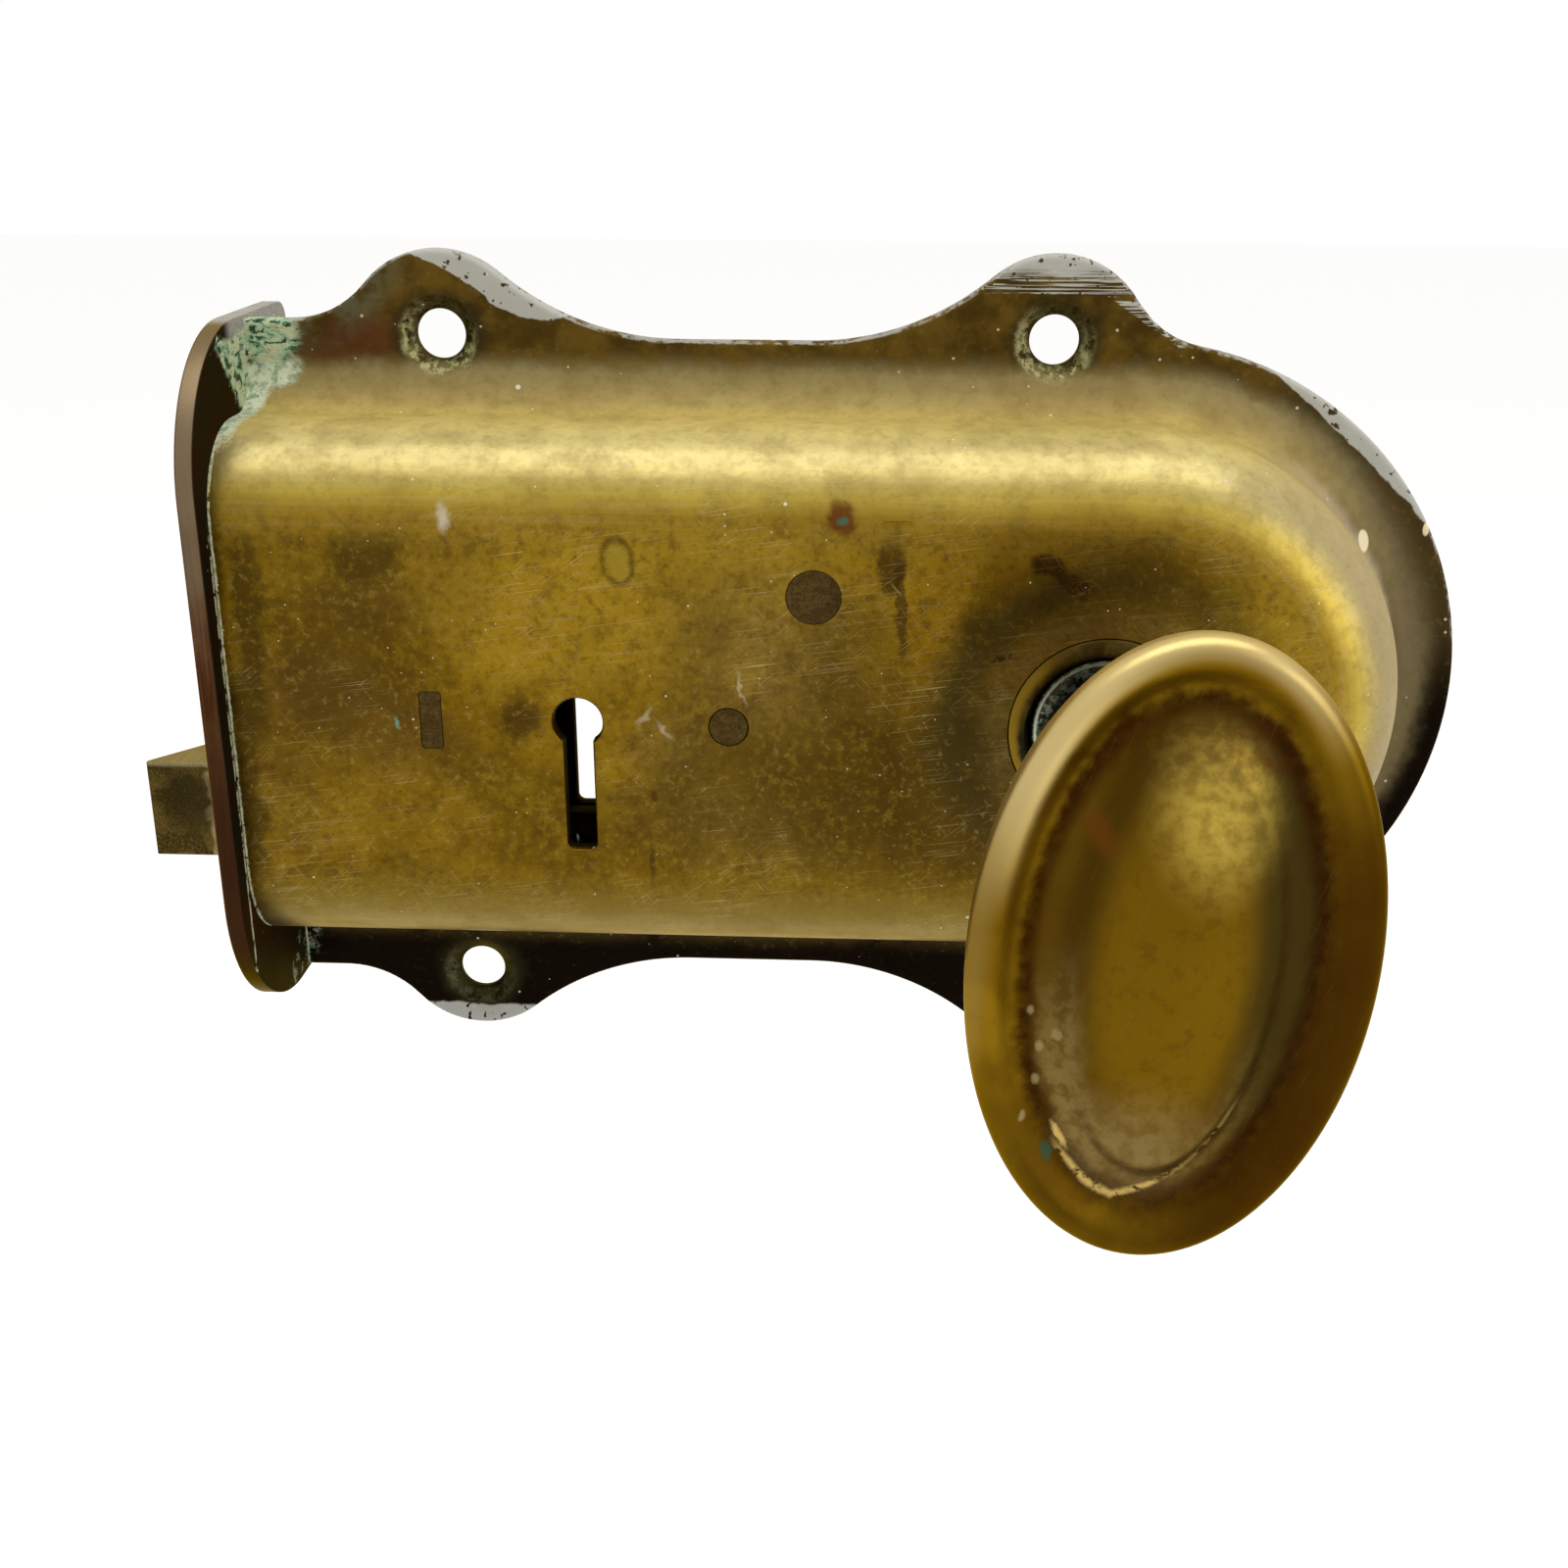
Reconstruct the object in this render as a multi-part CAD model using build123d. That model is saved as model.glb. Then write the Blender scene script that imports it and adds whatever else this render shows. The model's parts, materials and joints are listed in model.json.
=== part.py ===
from build123d import *
import math
import os

# A brass rim lock: a round-ended case screwed on the inside face of a door, with a bevelled latch bolt
# worked by an oval knob, and a dead bolt held by three levers and worked by a key.
#
# All sizes are in millimetres. The origin is on the door's face, midway between the four case screws.
# X runs from the forend towards the round end, Z is up, and Y runs into the door. A depth is the height
# of something over the door's face, so it grows towards the person who stands in front of the lock.

# Case screws
screw_span_x = 74.5
screw_span_z = 85.8
screw_hole_radius = 3.0
screw_sink_radius = 4.8
screw_sink_depth = 1.6

# Base flange, whose outline is centred a little above the screws
outline_rise = 1.1
flange_thickness = 2.3
round_centre_x = 47.2
round_end_radius = 41.9
ear_radius = 11.5
ear_height = 40.4
forend_end_height = 43.5
waist_height = 41.4
forend_valley_radius = 13.0
waist_valley_radius = 34.0
round_valley_radius = 12.0

# Raised body of the case
body_half_height = 32.9
body_depth = 21.0
wall = 2.0
shoulder_radius = 11.0
root_radius = 5.0

# Forend plate, with a lip that lies on the door's edge
forend_face_x = -63.3
forend_thickness = 2.2
forend_depth = 24.2
forend_half_height = 44.0
forend_corner_radius = 19.0
lip_reach = 14.0
lip_corner_radius = 2.5
lip_screw_height = 32.0
lip_screw_offset = 8.0
lip_screw_radius = 2.0
lip_screw_sink_radius = 3.6

# Forend screws and the lugs in the case that take them
forend_screw_radius = 1.5
forend_screw_head_radius = 2.9
forend_screw_height = 27.6
forend_screw_depth = 9.5
forend_screw_length = 7.5
lug_length = 8.0
lug_width = 7.0
lug_height = 7.0
slot_width = 0.8
slot_depth = 0.7

# Back plate and what holds it
back_thickness = 1.8
back_gap = 0.1
pillar_radius = 2.3
pillar_place = (-0.85, -0.2)
boss_radius = 2.6
boss_places = [(-49.0, 27.0), (62.0, 8.0), (60.0, -12.0)]
back_screw_radius = 1.2
back_screw_head_radius = 2.2
back_screw_length = 8.0
thread_gap = 0.05

# Keyhole in the front, and the wider one in the back plate
key_x = -19.0
key_head_radius = 3.0
key_slot_width = 3.5
key_slot_reach = 16.4
key_slot_corner = 0.9
back_key_head_radius = 4.6
back_key_slot_width = 7.8
back_key_slot_reach = 17.9

# Layers inside, as depths over the door's face
tail_depth = 2.4
tail_thickness = 2.8
bolt_front_depth = 16.0
slide_gap = 0.2
pin_gap = 0.15

# Latch bolt
latch_height = 12.5
latch_middle_z = -14.2
latch_reach = 11.0
latch_head_length = 27.8
latch_nose = 0.6
latch_bevel_run = 10.4
latch_travel = 10.7
latch_tail_top_z = -18.0
latch_tail_bottom_z = -25.0
latch_tail_start_x = -56.0
latch_tail_end_x = 47.0
latch_guide_x = 20.0
latch_guide_radius = 2.0
latch_guide_depth = 8.0
latch_lug_depth = 13.0
latch_lug_top_z = -17.3
latch_lug_width = 4.0

# Latch spring on its rod
spring_z = -22.0
spring_depth = 9.5
spring_coil_radius = 2.35
spring_wire_radius = 0.4
spring_wire_sides = 8
spring_turns = 9
spring_samples = 48
spring_rod_radius = 1.2
spring_rod_gap = 0.05
spring_rod_start_x = -50.0
spring_lug_width = 3.0
spring_lug_top_z = -18.6
spring_seat_x = -12.0
spring_seat_length = 4.0
spring_seat_back_depth = 6.0
spring_tenon_length = 2.0
spring_seat_half_height = 3.4
spring_tenon_low_z = -20.6
spring_tenon_high_z = -18.7

# Follower and its bush; the square has settled at a small angle, and the knob leans with it
spindle_x = 43.9
square_lean = 3.6
square_gap = 0.25
front_journal_radius = 9.0
back_journal_radius = 8.0
journal_gap = 0.08
hub_radius = 10.0
hub_back_depth = 4.2
journal_recess = 0.5
journal_chamfer = 0.45
bush_radius = 11.5
bush_thickness = 4.0
arm_back_depth = 7.0
arm_front_depth = 13.0
arm_tip_radius = 2.5
arm_tip_width = 2.4
arm_root_width = 9.0
lower_arm_length = 19.4
lower_arm_angle = 16.0
upper_arm_length = 13.0
upper_arm_angle = 30.0
arm_gap = 0.15

# Spindle and knob
spindle_side = 8.4
spindle_edge = 0.5
spindle_back_reach = 40.0
spindle_front_depth = 60.0
socket_gap = 0.05
neck_end_depth = 27.5
neck_end_radius = 7.6
neck_bead = 0.6
neck_flare_depth = 52.0
neck_top_radius = 9.0
knob_back_depth = 66.0
knob_rim_depth = 81.5
knob_half_height = 30.2
knob_half_width = 18.2
rim_width = 4.6
rim_height = 2.6
boss_half_width = 8.0
boss_half_height = 20.0
boss_rise = 2.4
boss_crown = 0.8
crown_sizes = (0.7, 0.4, 0.1)
knob_steps = 5
grub_radius = 1.8
grub_depth = 33.5

# Dead bolt, thrown by the key
dead_low_z = 3.5
dead_high_z = 20.5
dead_head_length = 17.3
dead_tail_low_z = 9.0
dead_tail_end_x = 25.0
dead_travel = 10.0
talon_width = 10.0
talon_top_z = 13.0
talon_corner = 1.5
stump_x = -28.0
stump_z = 15.0
stump_side = 3.4
stump_front_depth = 14.0

# Levers
lever_count = 3
lever_thickness = 2.4
lever_pitch = 2.8
lever_back_depth = 5.6
lever_pivot_x = 9.25
lever_pivot_z = 15.9
lever_pivot_radius = 2.2
lever_pivot_head_radius = 3.2
lever_pivot_head_depth = 15.0
lever_hole_gap = 0.05
lever_eye_radius = 5.2
lever_end_x = -44.0
lever_low_z = 7.5
lever_belly_radius = 11.5
lever_lift = 4.0
pocket_gap = 0.3
pocket_top_z = 17.2
near_pocket_low_z = 11.2
far_pocket_low_z = 9.5
gate_gap = 0.35
gate_share = 0.1
lever_spring_thickness = 0.5
lever_spring_width = 1.8
lever_spring_foot = 4.0
lever_spring_foot_x = 2.0
lever_spring_end_x = -19.0
lever_spring_end_z = 28.0

# Stumps whose ends show on the front of the case
fence_x = -36.65
fence_size = (2.6, 7.1)
fence_back_depth = 5.6
tall_stump_place = (18.85, 17.3)
tall_stump_size = (3.2, 15.4)
tall_stump_back_depth = 6.0
stop_place = (38.5, 18.7)
stop_size = (8.0, 2.8)
stop_angle = -31.0
stop_back_depth = 6.0

# How near two things are to count as touching, and where along an edge that is looked at
touching = 1e-3
edge_shares = (0.0, 0.37, 1.0)

# Places that follow from the sizes above
forend_inner_x = forend_face_x + forend_thickness
inner_half_height = body_half_height - wall
inner_depth = body_depth - wall
inner_shoulder = shoulder_radius - wall
latch_tip_x = forend_face_x - latch_reach
latch_heel_x = latch_tip_x + latch_head_length
spring_start_x = latch_heel_x + spring_lug_width
far_stump_x = stump_x - dead_travel
lever_top_z = lever_pivot_z + lever_eye_radius
pocket_half_width = stump_side / 2 + pocket_gap
spring_seat_front_depth = inner_depth - spring_tenon_length
bush_back_depth = body_depth - bush_thickness
hub_front_depth = bush_back_depth - slide_gap
outline_middle = Pos(0, outline_rise)


def slab(sketch, low, high):
    """A flat piece whose outline lies in the door's plane, between two depths."""
    return extrude(Plane.XZ.offset(low) * sketch, amount=high - low)


def post(x, z, radius, low, high):
    """A round piece that stands square to the door."""
    return slab(Pos(x, z) * Circle(radius), low, high)


def bar(x, length, low_z, high_z, low, high):
    """A block with its sides along the frame's axes."""
    middle = Pos(x + length / 2, (low_z + high_z) / 2)
    return slab(middle * Rectangle(length, high_z - low_z), low, high)


def at_depth(edge, depth):
    """Whether an edge lies at one depth over the door's face."""
    return all(abs(edge.position_at(share).Y + depth) < touching for share in edge_shares)


def towards(start, end, distance):
    """The point at a distance from start on the way to end."""
    span = math.dist(start, end)
    return tuple(a + (b - a) * distance / span for a, b in zip(start, end))


def arc(centre, start, end):
    """An arc of under a half circle from start to end."""
    middle = tuple((a + b) / 2 for a, b in zip(start, end))
    return ThreePointArc(start, towards(centre, middle, math.dist(centre, start)), end)


def valley(ear_x, level, radius, side):
    """Centre of the hollow arc between an ear and a straight stretch of the flange's outline."""
    rise = level + radius - ear_height
    return (ear_x + side * math.sqrt((ear_radius + radius) ** 2 - rise**2), level + radius)


def round_valley(ear_x):
    """Centre of the hollow arc between the right-hand ear and the round end."""
    ear, end = (ear_x, ear_height), (round_centre_x, 0.0)
    from_ear, from_end = ear_radius + round_valley_radius, round_end_radius + round_valley_radius
    span = math.dist(ear, end)
    along = (from_ear**2 - from_end**2 + span**2) / (2 * span)
    across = math.sqrt(from_ear**2 - along**2)
    foot = towards(ear, end, along)
    return (foot[0] + across * (ear[1] - end[1]) / span, foot[1] + across * (end[0] - ear[0]) / span)


def flange_outline():
    left_ear, right_ear = (-screw_span_x / 2, ear_height), (screw_span_x / 2, ear_height)
    first = valley(left_ear[0], forend_end_height, forend_valley_radius, -1)
    second = valley(left_ear[0], waist_height, waist_valley_radius, 1)
    third = valley(right_ear[0], waist_height, waist_valley_radius, -1)
    fourth = round_valley(right_ear[0])
    end = (round_centre_x, 0.0)
    start = (forend_inner_x, forend_end_height)
    first_level, second_level, third_level = (
        (first[0], forend_end_height),
        (second[0], waist_height),
        (third[0], waist_height),
    )
    on_ears = [
        towards(left_ear, first, ear_radius),
        towards(left_ear, second, ear_radius),
        towards(right_ear, third, ear_radius),
        towards(right_ear, fourth, ear_radius),
    ]
    round_start = towards(end, fourth, round_end_radius)
    top = [
        Line(start, first_level),
        arc(first, first_level, on_ears[0]),
        arc(left_ear, on_ears[0], on_ears[1]),
        arc(second, on_ears[1], second_level),
        Line(second_level, third_level),
        arc(third, third_level, on_ears[2]),
        arc(right_ear, on_ears[2], on_ears[3]),
        arc(fourth, on_ears[3], round_start),
    ]
    below = [mirror(edge, about=Plane.XZ) for edge in top]
    right_end = (round_centre_x + round_end_radius, 0.0)
    closing = [
        ThreePointArc(round_start, right_end, (round_start[0], -round_start[1])),
        Line(start, (start[0], -start[1])),
    ]
    return outline_middle * make_face(top + below + closing)


def body_outline(half_height, start_x):
    length = round_centre_x - start_x
    straight = Pos(start_x + length / 2, 0) * Rectangle(length, 2 * half_height)
    return outline_middle * (straight + Pos(round_centre_x, 0) * Circle(half_height))


def round_fronted(half_height, depth, radius, start_x):
    """The body's form: round at one end, with its front edges rounded over."""
    form = slab(body_outline(half_height, start_x), 0, depth)
    front = [e for e in form.edges() if at_depth(e, depth) and e.position_at(0.5).X > start_x + touching]
    return fillet(front, radius)


def root_edges(form):
    """Where the raised body meets the flange."""
    edges = []
    for edge in form.edges():
        middle = edge.position_at(0.5)
        rise = middle.Z - outline_rise
        past = max(middle.X - round_centre_x, 0.0)
        on_body = abs(math.hypot(past, rise) - body_half_height) < touching
        if at_depth(edge, flange_thickness) and on_body:
            edges.append(edge)
    return edges


def keyhole(head_radius, slot_width, slot_reach):
    slot = Pos(0, -slot_reach / 2) * Rectangle(slot_width, slot_reach)
    low_corners = slot.vertices().sort_by(Axis.Y)[:2]
    return Pos(key_x, 0) * (fillet(low_corners, key_slot_corner) + Circle(head_radius))


def fence_sketch():
    return Pos(fence_x, 0) * Rectangle(*fence_size)


def tall_stump_sketch():
    return Pos(*tall_stump_place) * Rectangle(*tall_stump_size)


def stop_sketch():
    return Pos(*stop_place) * Rot(0, 0, stop_angle) * Rectangle(*stop_size)


def spring_tenon_sketch():
    height = spring_tenon_high_z - spring_tenon_low_z
    middle = Pos(spring_seat_x + spring_seat_length / 2, spring_tenon_low_z + height / 2)
    return middle * Rectangle(spring_seat_length, height)


def screw_places():
    return [(sx * screw_span_x / 2, sz * screw_span_z / 2) for sx in (-1, 1) for sz in (-1, 1)]


def sunk_hole(radius, sink_radius, sink_depth, thickness):
    """A countersunk hole along local +Z, whose wide end is at the given thickness."""
    through = Cylinder(radius, 3 * thickness)
    cone = Cone(radius, sink_radius, sink_depth)
    rim = Cylinder(sink_radius, thickness, align=(Align.CENTER, Align.CENTER, Align.MIN))
    return through + Pos(0, 0, thickness - sink_depth / 2) * cone + Pos(0, 0, thickness) * rim


def facing(x, z, depth, outward=True):
    """A place over the door's face, whose local Z points away from the door, or into it."""
    return Plane((x, -depth, z), x_dir=(1, 0, 0), z_dir=(0, -1 if outward else 1, 0))


def make_case():
    form = slab(flange_outline(), 0, flange_thickness)
    form += round_fronted(body_half_height, body_depth, shoulder_radius, forend_inner_x)
    form = fillet(root_edges(form), root_radius)
    open_start = forend_inner_x - forend_thickness
    form -= round_fronted(inner_half_height, inner_depth, inner_shoulder, open_start)
    form += case_bosses()
    for x, z in screw_places():
        hole = sunk_hole(screw_hole_radius, screw_sink_radius, screw_sink_depth, flange_thickness)
        form -= facing(x, z, 0) * hole
    through_front = [
        keyhole(key_head_radius, key_slot_width, key_slot_reach),
        Pos(spindle_x, 0) * Circle(bush_radius),
        Pos(lever_pivot_x, lever_pivot_z) * Circle(lever_pivot_head_radius),
        Pos(*pillar_place) * Circle(pillar_radius),
        fence_sketch(),
        tall_stump_sketch(),
        stop_sketch(),
    ]
    for sketch in through_front:
        form -= slab(sketch, inner_depth - wall, body_depth + wall)
    return form


def case_bosses():
    """Bosses for the back plate's screws and lugs for the forend's, cast with the case."""
    height, depth = inner_half_height + wall / 2, inner_depth + wall / 2
    inside = round_fronted(height, depth, inner_shoulder, forend_inner_x)
    posts = Part()
    for x, z in boss_places:
        posts += post(x, z, boss_radius, back_thickness, body_depth)
    for side in (-1, 1):
        z = outline_rise + side * (inner_half_height - lug_height / 2 + wall / 2)
        low_z, high_z = z - (lug_height + wall) / 2, z + (lug_height + wall) / 2
        low, high = forend_screw_depth - lug_width / 2, forend_screw_depth + lug_width / 2
        posts += bar(forend_inner_x, lug_length, low_z, high_z, low, high)
    posts = posts & inside
    for x, z in boss_places:
        posts -= post(x, z, back_screw_radius + thread_gap, 0, back_screw_length + thread_gap)
    for place in forend_screw_planes(forend_inner_x):
        posts -= place * Cylinder(forend_screw_radius + thread_gap, 2 * forend_screw_length)
    return posts


def forend_screw_planes(x):
    """Places on the forend's two screws, whose local Z points out of the forend."""
    heights = [outline_rise + side * forend_screw_height for side in (-1, 1)]
    return [Plane((x, -forend_screw_depth, z), x_dir=(0, 1, 0), z_dir=(-1, 0, 0)) for z in heights]


def make_forend_plate():
    width = forend_depth + lip_reach
    middle = Pos((lip_reach - forend_depth) / 2, outline_rise)
    face = middle * Rectangle(width, 2 * forend_half_height)
    by_depth = face.vertices().sort_by(Axis.X)
    face = fillet(by_depth[:2], forend_corner_radius)
    face = fillet(face.vertices().sort_by(Axis.X)[-2:], lip_corner_radius)
    plate = extrude(Plane.YZ.offset(forend_face_x) * face, amount=forend_thickness)
    for low_z, high_z in (
        (latch_middle_z - latch_height / 2, latch_middle_z + latch_height / 2),
        (dead_low_z, dead_high_z),
    ):
        start, length = forend_face_x - forend_thickness, 3 * forend_thickness
        low, high = tail_depth - slide_gap, bolt_front_depth + slide_gap
        plate -= bar(start, length, low_z - slide_gap, high_z + slide_gap, low, high)
    for place in forend_screw_planes(forend_inner_x):
        sink = forend_screw_head_radius - forend_screw_radius
        hole = sunk_hole(forend_screw_radius + thread_gap, forend_screw_head_radius, sink, forend_thickness)
        plate -= place * hole
    for side in (-1, 1):
        z = outline_rise + side * lip_screw_height
        place = Plane((forend_inner_x, lip_screw_offset, z), x_dir=(0, 1, 0), z_dir=(-1, 0, 0))
        sink = lip_screw_sink_radius - lip_screw_radius
        plate -= place * sunk_hole(lip_screw_radius, lip_screw_sink_radius, sink, forend_thickness)
    return plate


def sunk_screw(radius, head_radius, length):
    """A countersunk screw with a slot, its flat top at local Z 0 and its end below."""
    sink = head_radius - radius
    head = Pos(0, 0, -sink / 2) * Cone(radius, head_radius, sink)
    shank = Cylinder(radius, length - sink / 2, align=(Align.CENTER, Align.CENTER, Align.MAX))
    slot = Box(3 * head_radius, slot_width, 2 * slot_depth)
    return head + Pos(0, 0, -sink / 2) * shank - slot


def make_forend_screws():
    screw = sunk_screw(forend_screw_radius, forend_screw_head_radius, forend_screw_length)
    return Part() + [place * screw for place in forend_screw_planes(forend_face_x)]


def make_back_plate():
    outline = body_outline(inner_half_height - back_gap, forend_inner_x + back_gap)
    plate = slab(outline, 0, back_thickness)
    key_way = keyhole(back_key_head_radius, back_key_slot_width, back_key_slot_reach)
    plate -= slab(key_way, -wall, wall + back_thickness)
    plate -= post(spindle_x, 0, back_journal_radius + journal_gap, -wall, wall + back_thickness)
    plate -= post(latch_guide_x, spring_z, latch_guide_radius, -wall, wall + back_thickness)
    sink = back_screw_head_radius - back_screw_radius
    for x, z in boss_places + [pillar_place]:
        hole = sunk_hole(back_screw_radius + thread_gap, back_screw_head_radius, sink, back_thickness)
        plate -= facing(x, z, back_thickness, outward=False) * hole
    return plate


def make_back_plate_screws():
    screw = sunk_screw(back_screw_radius, back_screw_head_radius, back_screw_length)
    return Part() + [facing(x, z, 0, outward=False) * screw for x, z in boss_places + [pillar_place]]


def make_cap_pillar():
    pillar = post(*pillar_place, pillar_radius, back_thickness, body_depth)
    return pillar - post(*pillar_place, back_screw_radius + thread_gap, 0, back_screw_length + thread_gap)


def make_lever_pivot():
    x, z = lever_pivot_x, lever_pivot_z
    pin = post(x, z, lever_pivot_radius, back_thickness, body_depth)
    return pin + post(x, z, lever_pivot_head_radius, lever_pivot_head_depth, body_depth)


def make_latch_bolt():
    low_z, high_z = latch_middle_z - latch_height / 2, latch_middle_z + latch_height / 2
    back, front = -tail_depth, -bolt_front_depth
    side = make_face(
        Polyline(
            (latch_tip_x, front),
            (latch_tip_x, front + latch_nose),
            (latch_tip_x + latch_bevel_run, back),
            (latch_heel_x, back),
            (latch_heel_x, front),
            close=True,
        )
    )
    head = extrude(Plane.XY.offset(low_z) * side, amount=high_z - low_z)
    tail = bar(
        latch_tail_start_x,
        latch_tail_end_x - latch_tail_start_x,
        latch_tail_bottom_z,
        latch_tail_top_z,
        tail_depth,
        tail_depth + tail_thickness,
    )
    spring_lug = bar(
        latch_heel_x, spring_lug_width, latch_tail_bottom_z, spring_lug_top_z, tail_depth, latch_lug_depth
    )
    bolt = head + tail + spring_lug + latch_arm_lug()
    bolt -= spring_rod_hole()
    return bolt - latch_guide_slot()


def lower_arm_tip_x():
    return spindle_x - lower_arm_length * math.sin(math.radians(lower_arm_angle))


def latch_arm_lug():
    """The lug that the follower's lower arm pushes."""
    start = lower_arm_tip_x() + arm_tip_radius + arm_gap
    return bar(start, latch_lug_width, latch_tail_bottom_z, latch_lug_top_z, tail_depth, latch_lug_depth)


def along_x(start_x, length, z, depth, radius):
    place = Plane((start_x, -depth, z), x_dir=(0, 1, 0), z_dir=(1, 0, 0))
    return place * Cylinder(radius, length, align=(Align.CENTER, Align.CENTER, Align.MIN))


def spring_rod_hole():
    radius = spring_rod_radius + spring_rod_gap
    return along_x(latch_heel_x - spring_lug_width, 3 * spring_lug_width, spring_z, spring_depth, radius)


def latch_guide_slot():
    """The slot that runs on the guide pin and ends the latch's travel."""
    radius = latch_guide_radius + pin_gap
    slot = Pos(latch_guide_x - latch_travel / 2, spring_z) * SlotCenterToCenter(latch_travel, 2 * radius)
    return slab(slot, 0, tail_depth + 2 * tail_thickness)


def make_latch_guide_pin():
    return post(latch_guide_x, spring_z, latch_guide_radius, 0, latch_guide_depth)


def make_spring_seat():
    low_z, high_z = spring_z - spring_seat_half_height, spring_z + spring_seat_half_height
    block = bar(
        spring_seat_x, spring_seat_length, low_z, high_z, spring_seat_back_depth, spring_seat_front_depth
    )
    block += slab(spring_tenon_sketch(), spring_seat_front_depth, inner_depth)
    hole = along_x(spring_seat_x, spring_seat_length, spring_z, spring_depth, spring_rod_radius)
    return block - hole


def make_spring_rod():
    length = spring_seat_x + spring_seat_length - spring_rod_start_x
    return along_x(spring_rod_start_x, length, spring_z, spring_depth, spring_rod_radius)


def spring_length():
    """Length of the coil's own centre line, between the latch's lug and the seat."""
    return spring_seat_x - spring_start_x - 2 * spring_wire_radius


def make_latch_spring():
    """An open coil of one unbroken wire."""
    length = spring_length()
    coil = Helix(pitch=length / spring_turns, height=length, radius=spring_coil_radius)
    start = Plane(origin=coil @ 0, z_dir=coil % 0)
    wire = sweep(start * RegularPolygon(spring_wire_radius, spring_wire_sides), path=coil)
    centre = (spring_start_x + spring_wire_radius, -spring_depth, spring_z)
    return Plane(centre, x_dir=(0, 1, 0), z_dir=(1, 0, 0)) * wire


def spring_gap():
    """The least gap between two turns of the spring, measured on points along its wire."""
    points = []
    for step in range(spring_turns * spring_samples + 1):
        turn = 2 * math.pi * step / spring_samples
        along = spring_length() * step / (spring_turns * spring_samples)
        points.append((spring_coil_radius * math.cos(turn), spring_coil_radius * math.sin(turn), along))
    half_turn = spring_samples // 2
    nearest = min(
        math.dist(point, other)
        for index, point in enumerate(points)
        for other in points[index + half_turn :]
    )
    return nearest - 2 * spring_wire_radius


def make_hub_bush():
    ring = post(spindle_x, 0, bush_radius, bush_back_depth, body_depth)
    ring -= post(spindle_x, 0, front_journal_radius + journal_gap, 0, 2 * body_depth)
    front = [e for e in ring.edges() if at_depth(e, body_depth) and e.radius < bush_radius - wall / 2]
    return chamfer(front, journal_chamfer)


def arm(length, angle):
    """A tapered arm of the follower, whose tip lies at an angle from straight up, turning to the right."""
    tip = Pos(0, length) * Circle(arm_tip_radius)
    side = arm_root_width / 2
    neck = arm_tip_width / 2
    web = make_face(Polyline((-side, 0), (-neck, length), (neck, length), (side, 0), close=True))
    return slab(Pos(spindle_x, 0) * Rot(0, 0, -angle) * (tip + web), arm_back_depth, arm_front_depth)


def make_follower():
    front_depth = body_depth - journal_recess
    body = post(spindle_x, 0, back_journal_radius, slide_gap, hub_back_depth)
    body += post(spindle_x, 0, hub_radius, hub_back_depth, hub_front_depth)
    body += post(spindle_x, 0, front_journal_radius, hub_front_depth, front_depth)
    body += arm(lower_arm_length, 180 + lower_arm_angle) + arm(upper_arm_length, upper_arm_angle)
    body -= slab(spindle_square(square_gap), -wall, body_depth)
    rim = [e for e in body.edges().filter_by(GeomType.CIRCLE) if at_depth(e, front_depth)]
    return chamfer(rim, journal_chamfer)


def spindle_square(gap):
    """The spindle's section, or the square hole that takes it with a gap on every side."""
    side = spindle_side + 2 * gap
    return Pos(spindle_x, 0) * Rot(0, 0, -square_lean) * Rectangle(side, side)


def make_spindle():
    square = spindle_square(0)
    section = chamfer(square.vertices(), spindle_edge)
    return slab(section, -spindle_back_reach, spindle_front_depth)


def on_spindle(profile):
    """A turned piece from a half section of radius and depth."""
    centre = (spindle_x, 0, 0)
    half_section = Plane(centre, x_dir=(1, 0, 0), z_dir=(0, 0, 1)) * profile
    return revolve(half_section, Axis(centre, (0, 1, 0)))


def make_knob_neck():
    end, flare, top = -neck_end_depth, -neck_flare_depth, -knob_back_depth
    shaft = neck_end_radius - neck_bead
    outline = [
        Line((0, end), (shaft, end)),
        ThreePointArc((shaft, end), (neck_end_radius, end - neck_bead), (shaft, end - 2 * neck_bead)),
        Line((shaft, end - 2 * neck_bead), (shaft, flare)),
        Line((shaft, flare), (neck_top_radius, top)),
        Line((neck_top_radius, top), (0, top)),
        Line((0, top), (0, end)),
    ]
    neck = on_spindle(make_face(outline))
    neck -= slab(spindle_square(socket_gap), 0, spindle_front_depth + socket_gap)
    return neck - grub_screw_blank(grub_radius + thread_gap)


def on_lower_flat(piece):
    """Puts a piece that stands along local +Z on the spindle's lower flat."""
    place = Plane((0, -grub_depth, -spindle_side / 2), x_dir=(1, 0, 0), z_dir=(0, 0, -1))
    return Pos(spindle_x, 0, 0) * Rot(0, square_lean, 0) * (place * piece)


def grub_screw_blank(radius):
    """A pin through the neck's wall from below, up to the spindle's flat."""
    return on_lower_flat(Cylinder(radius, neck_end_radius, align=(Align.CENTER, Align.CENTER, Align.MIN)))


def make_grub_screw():
    reach = neck_end_radius - neck_bead - spindle_side / 2
    pin = Cylinder(grub_radius, reach, align=(Align.CENTER, Align.CENTER, Align.MIN))
    slot = Pos(0, 0, reach) * Box(3 * grub_radius, slot_width, 2 * slot_depth)
    return on_lower_flat(pin - slot)


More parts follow.
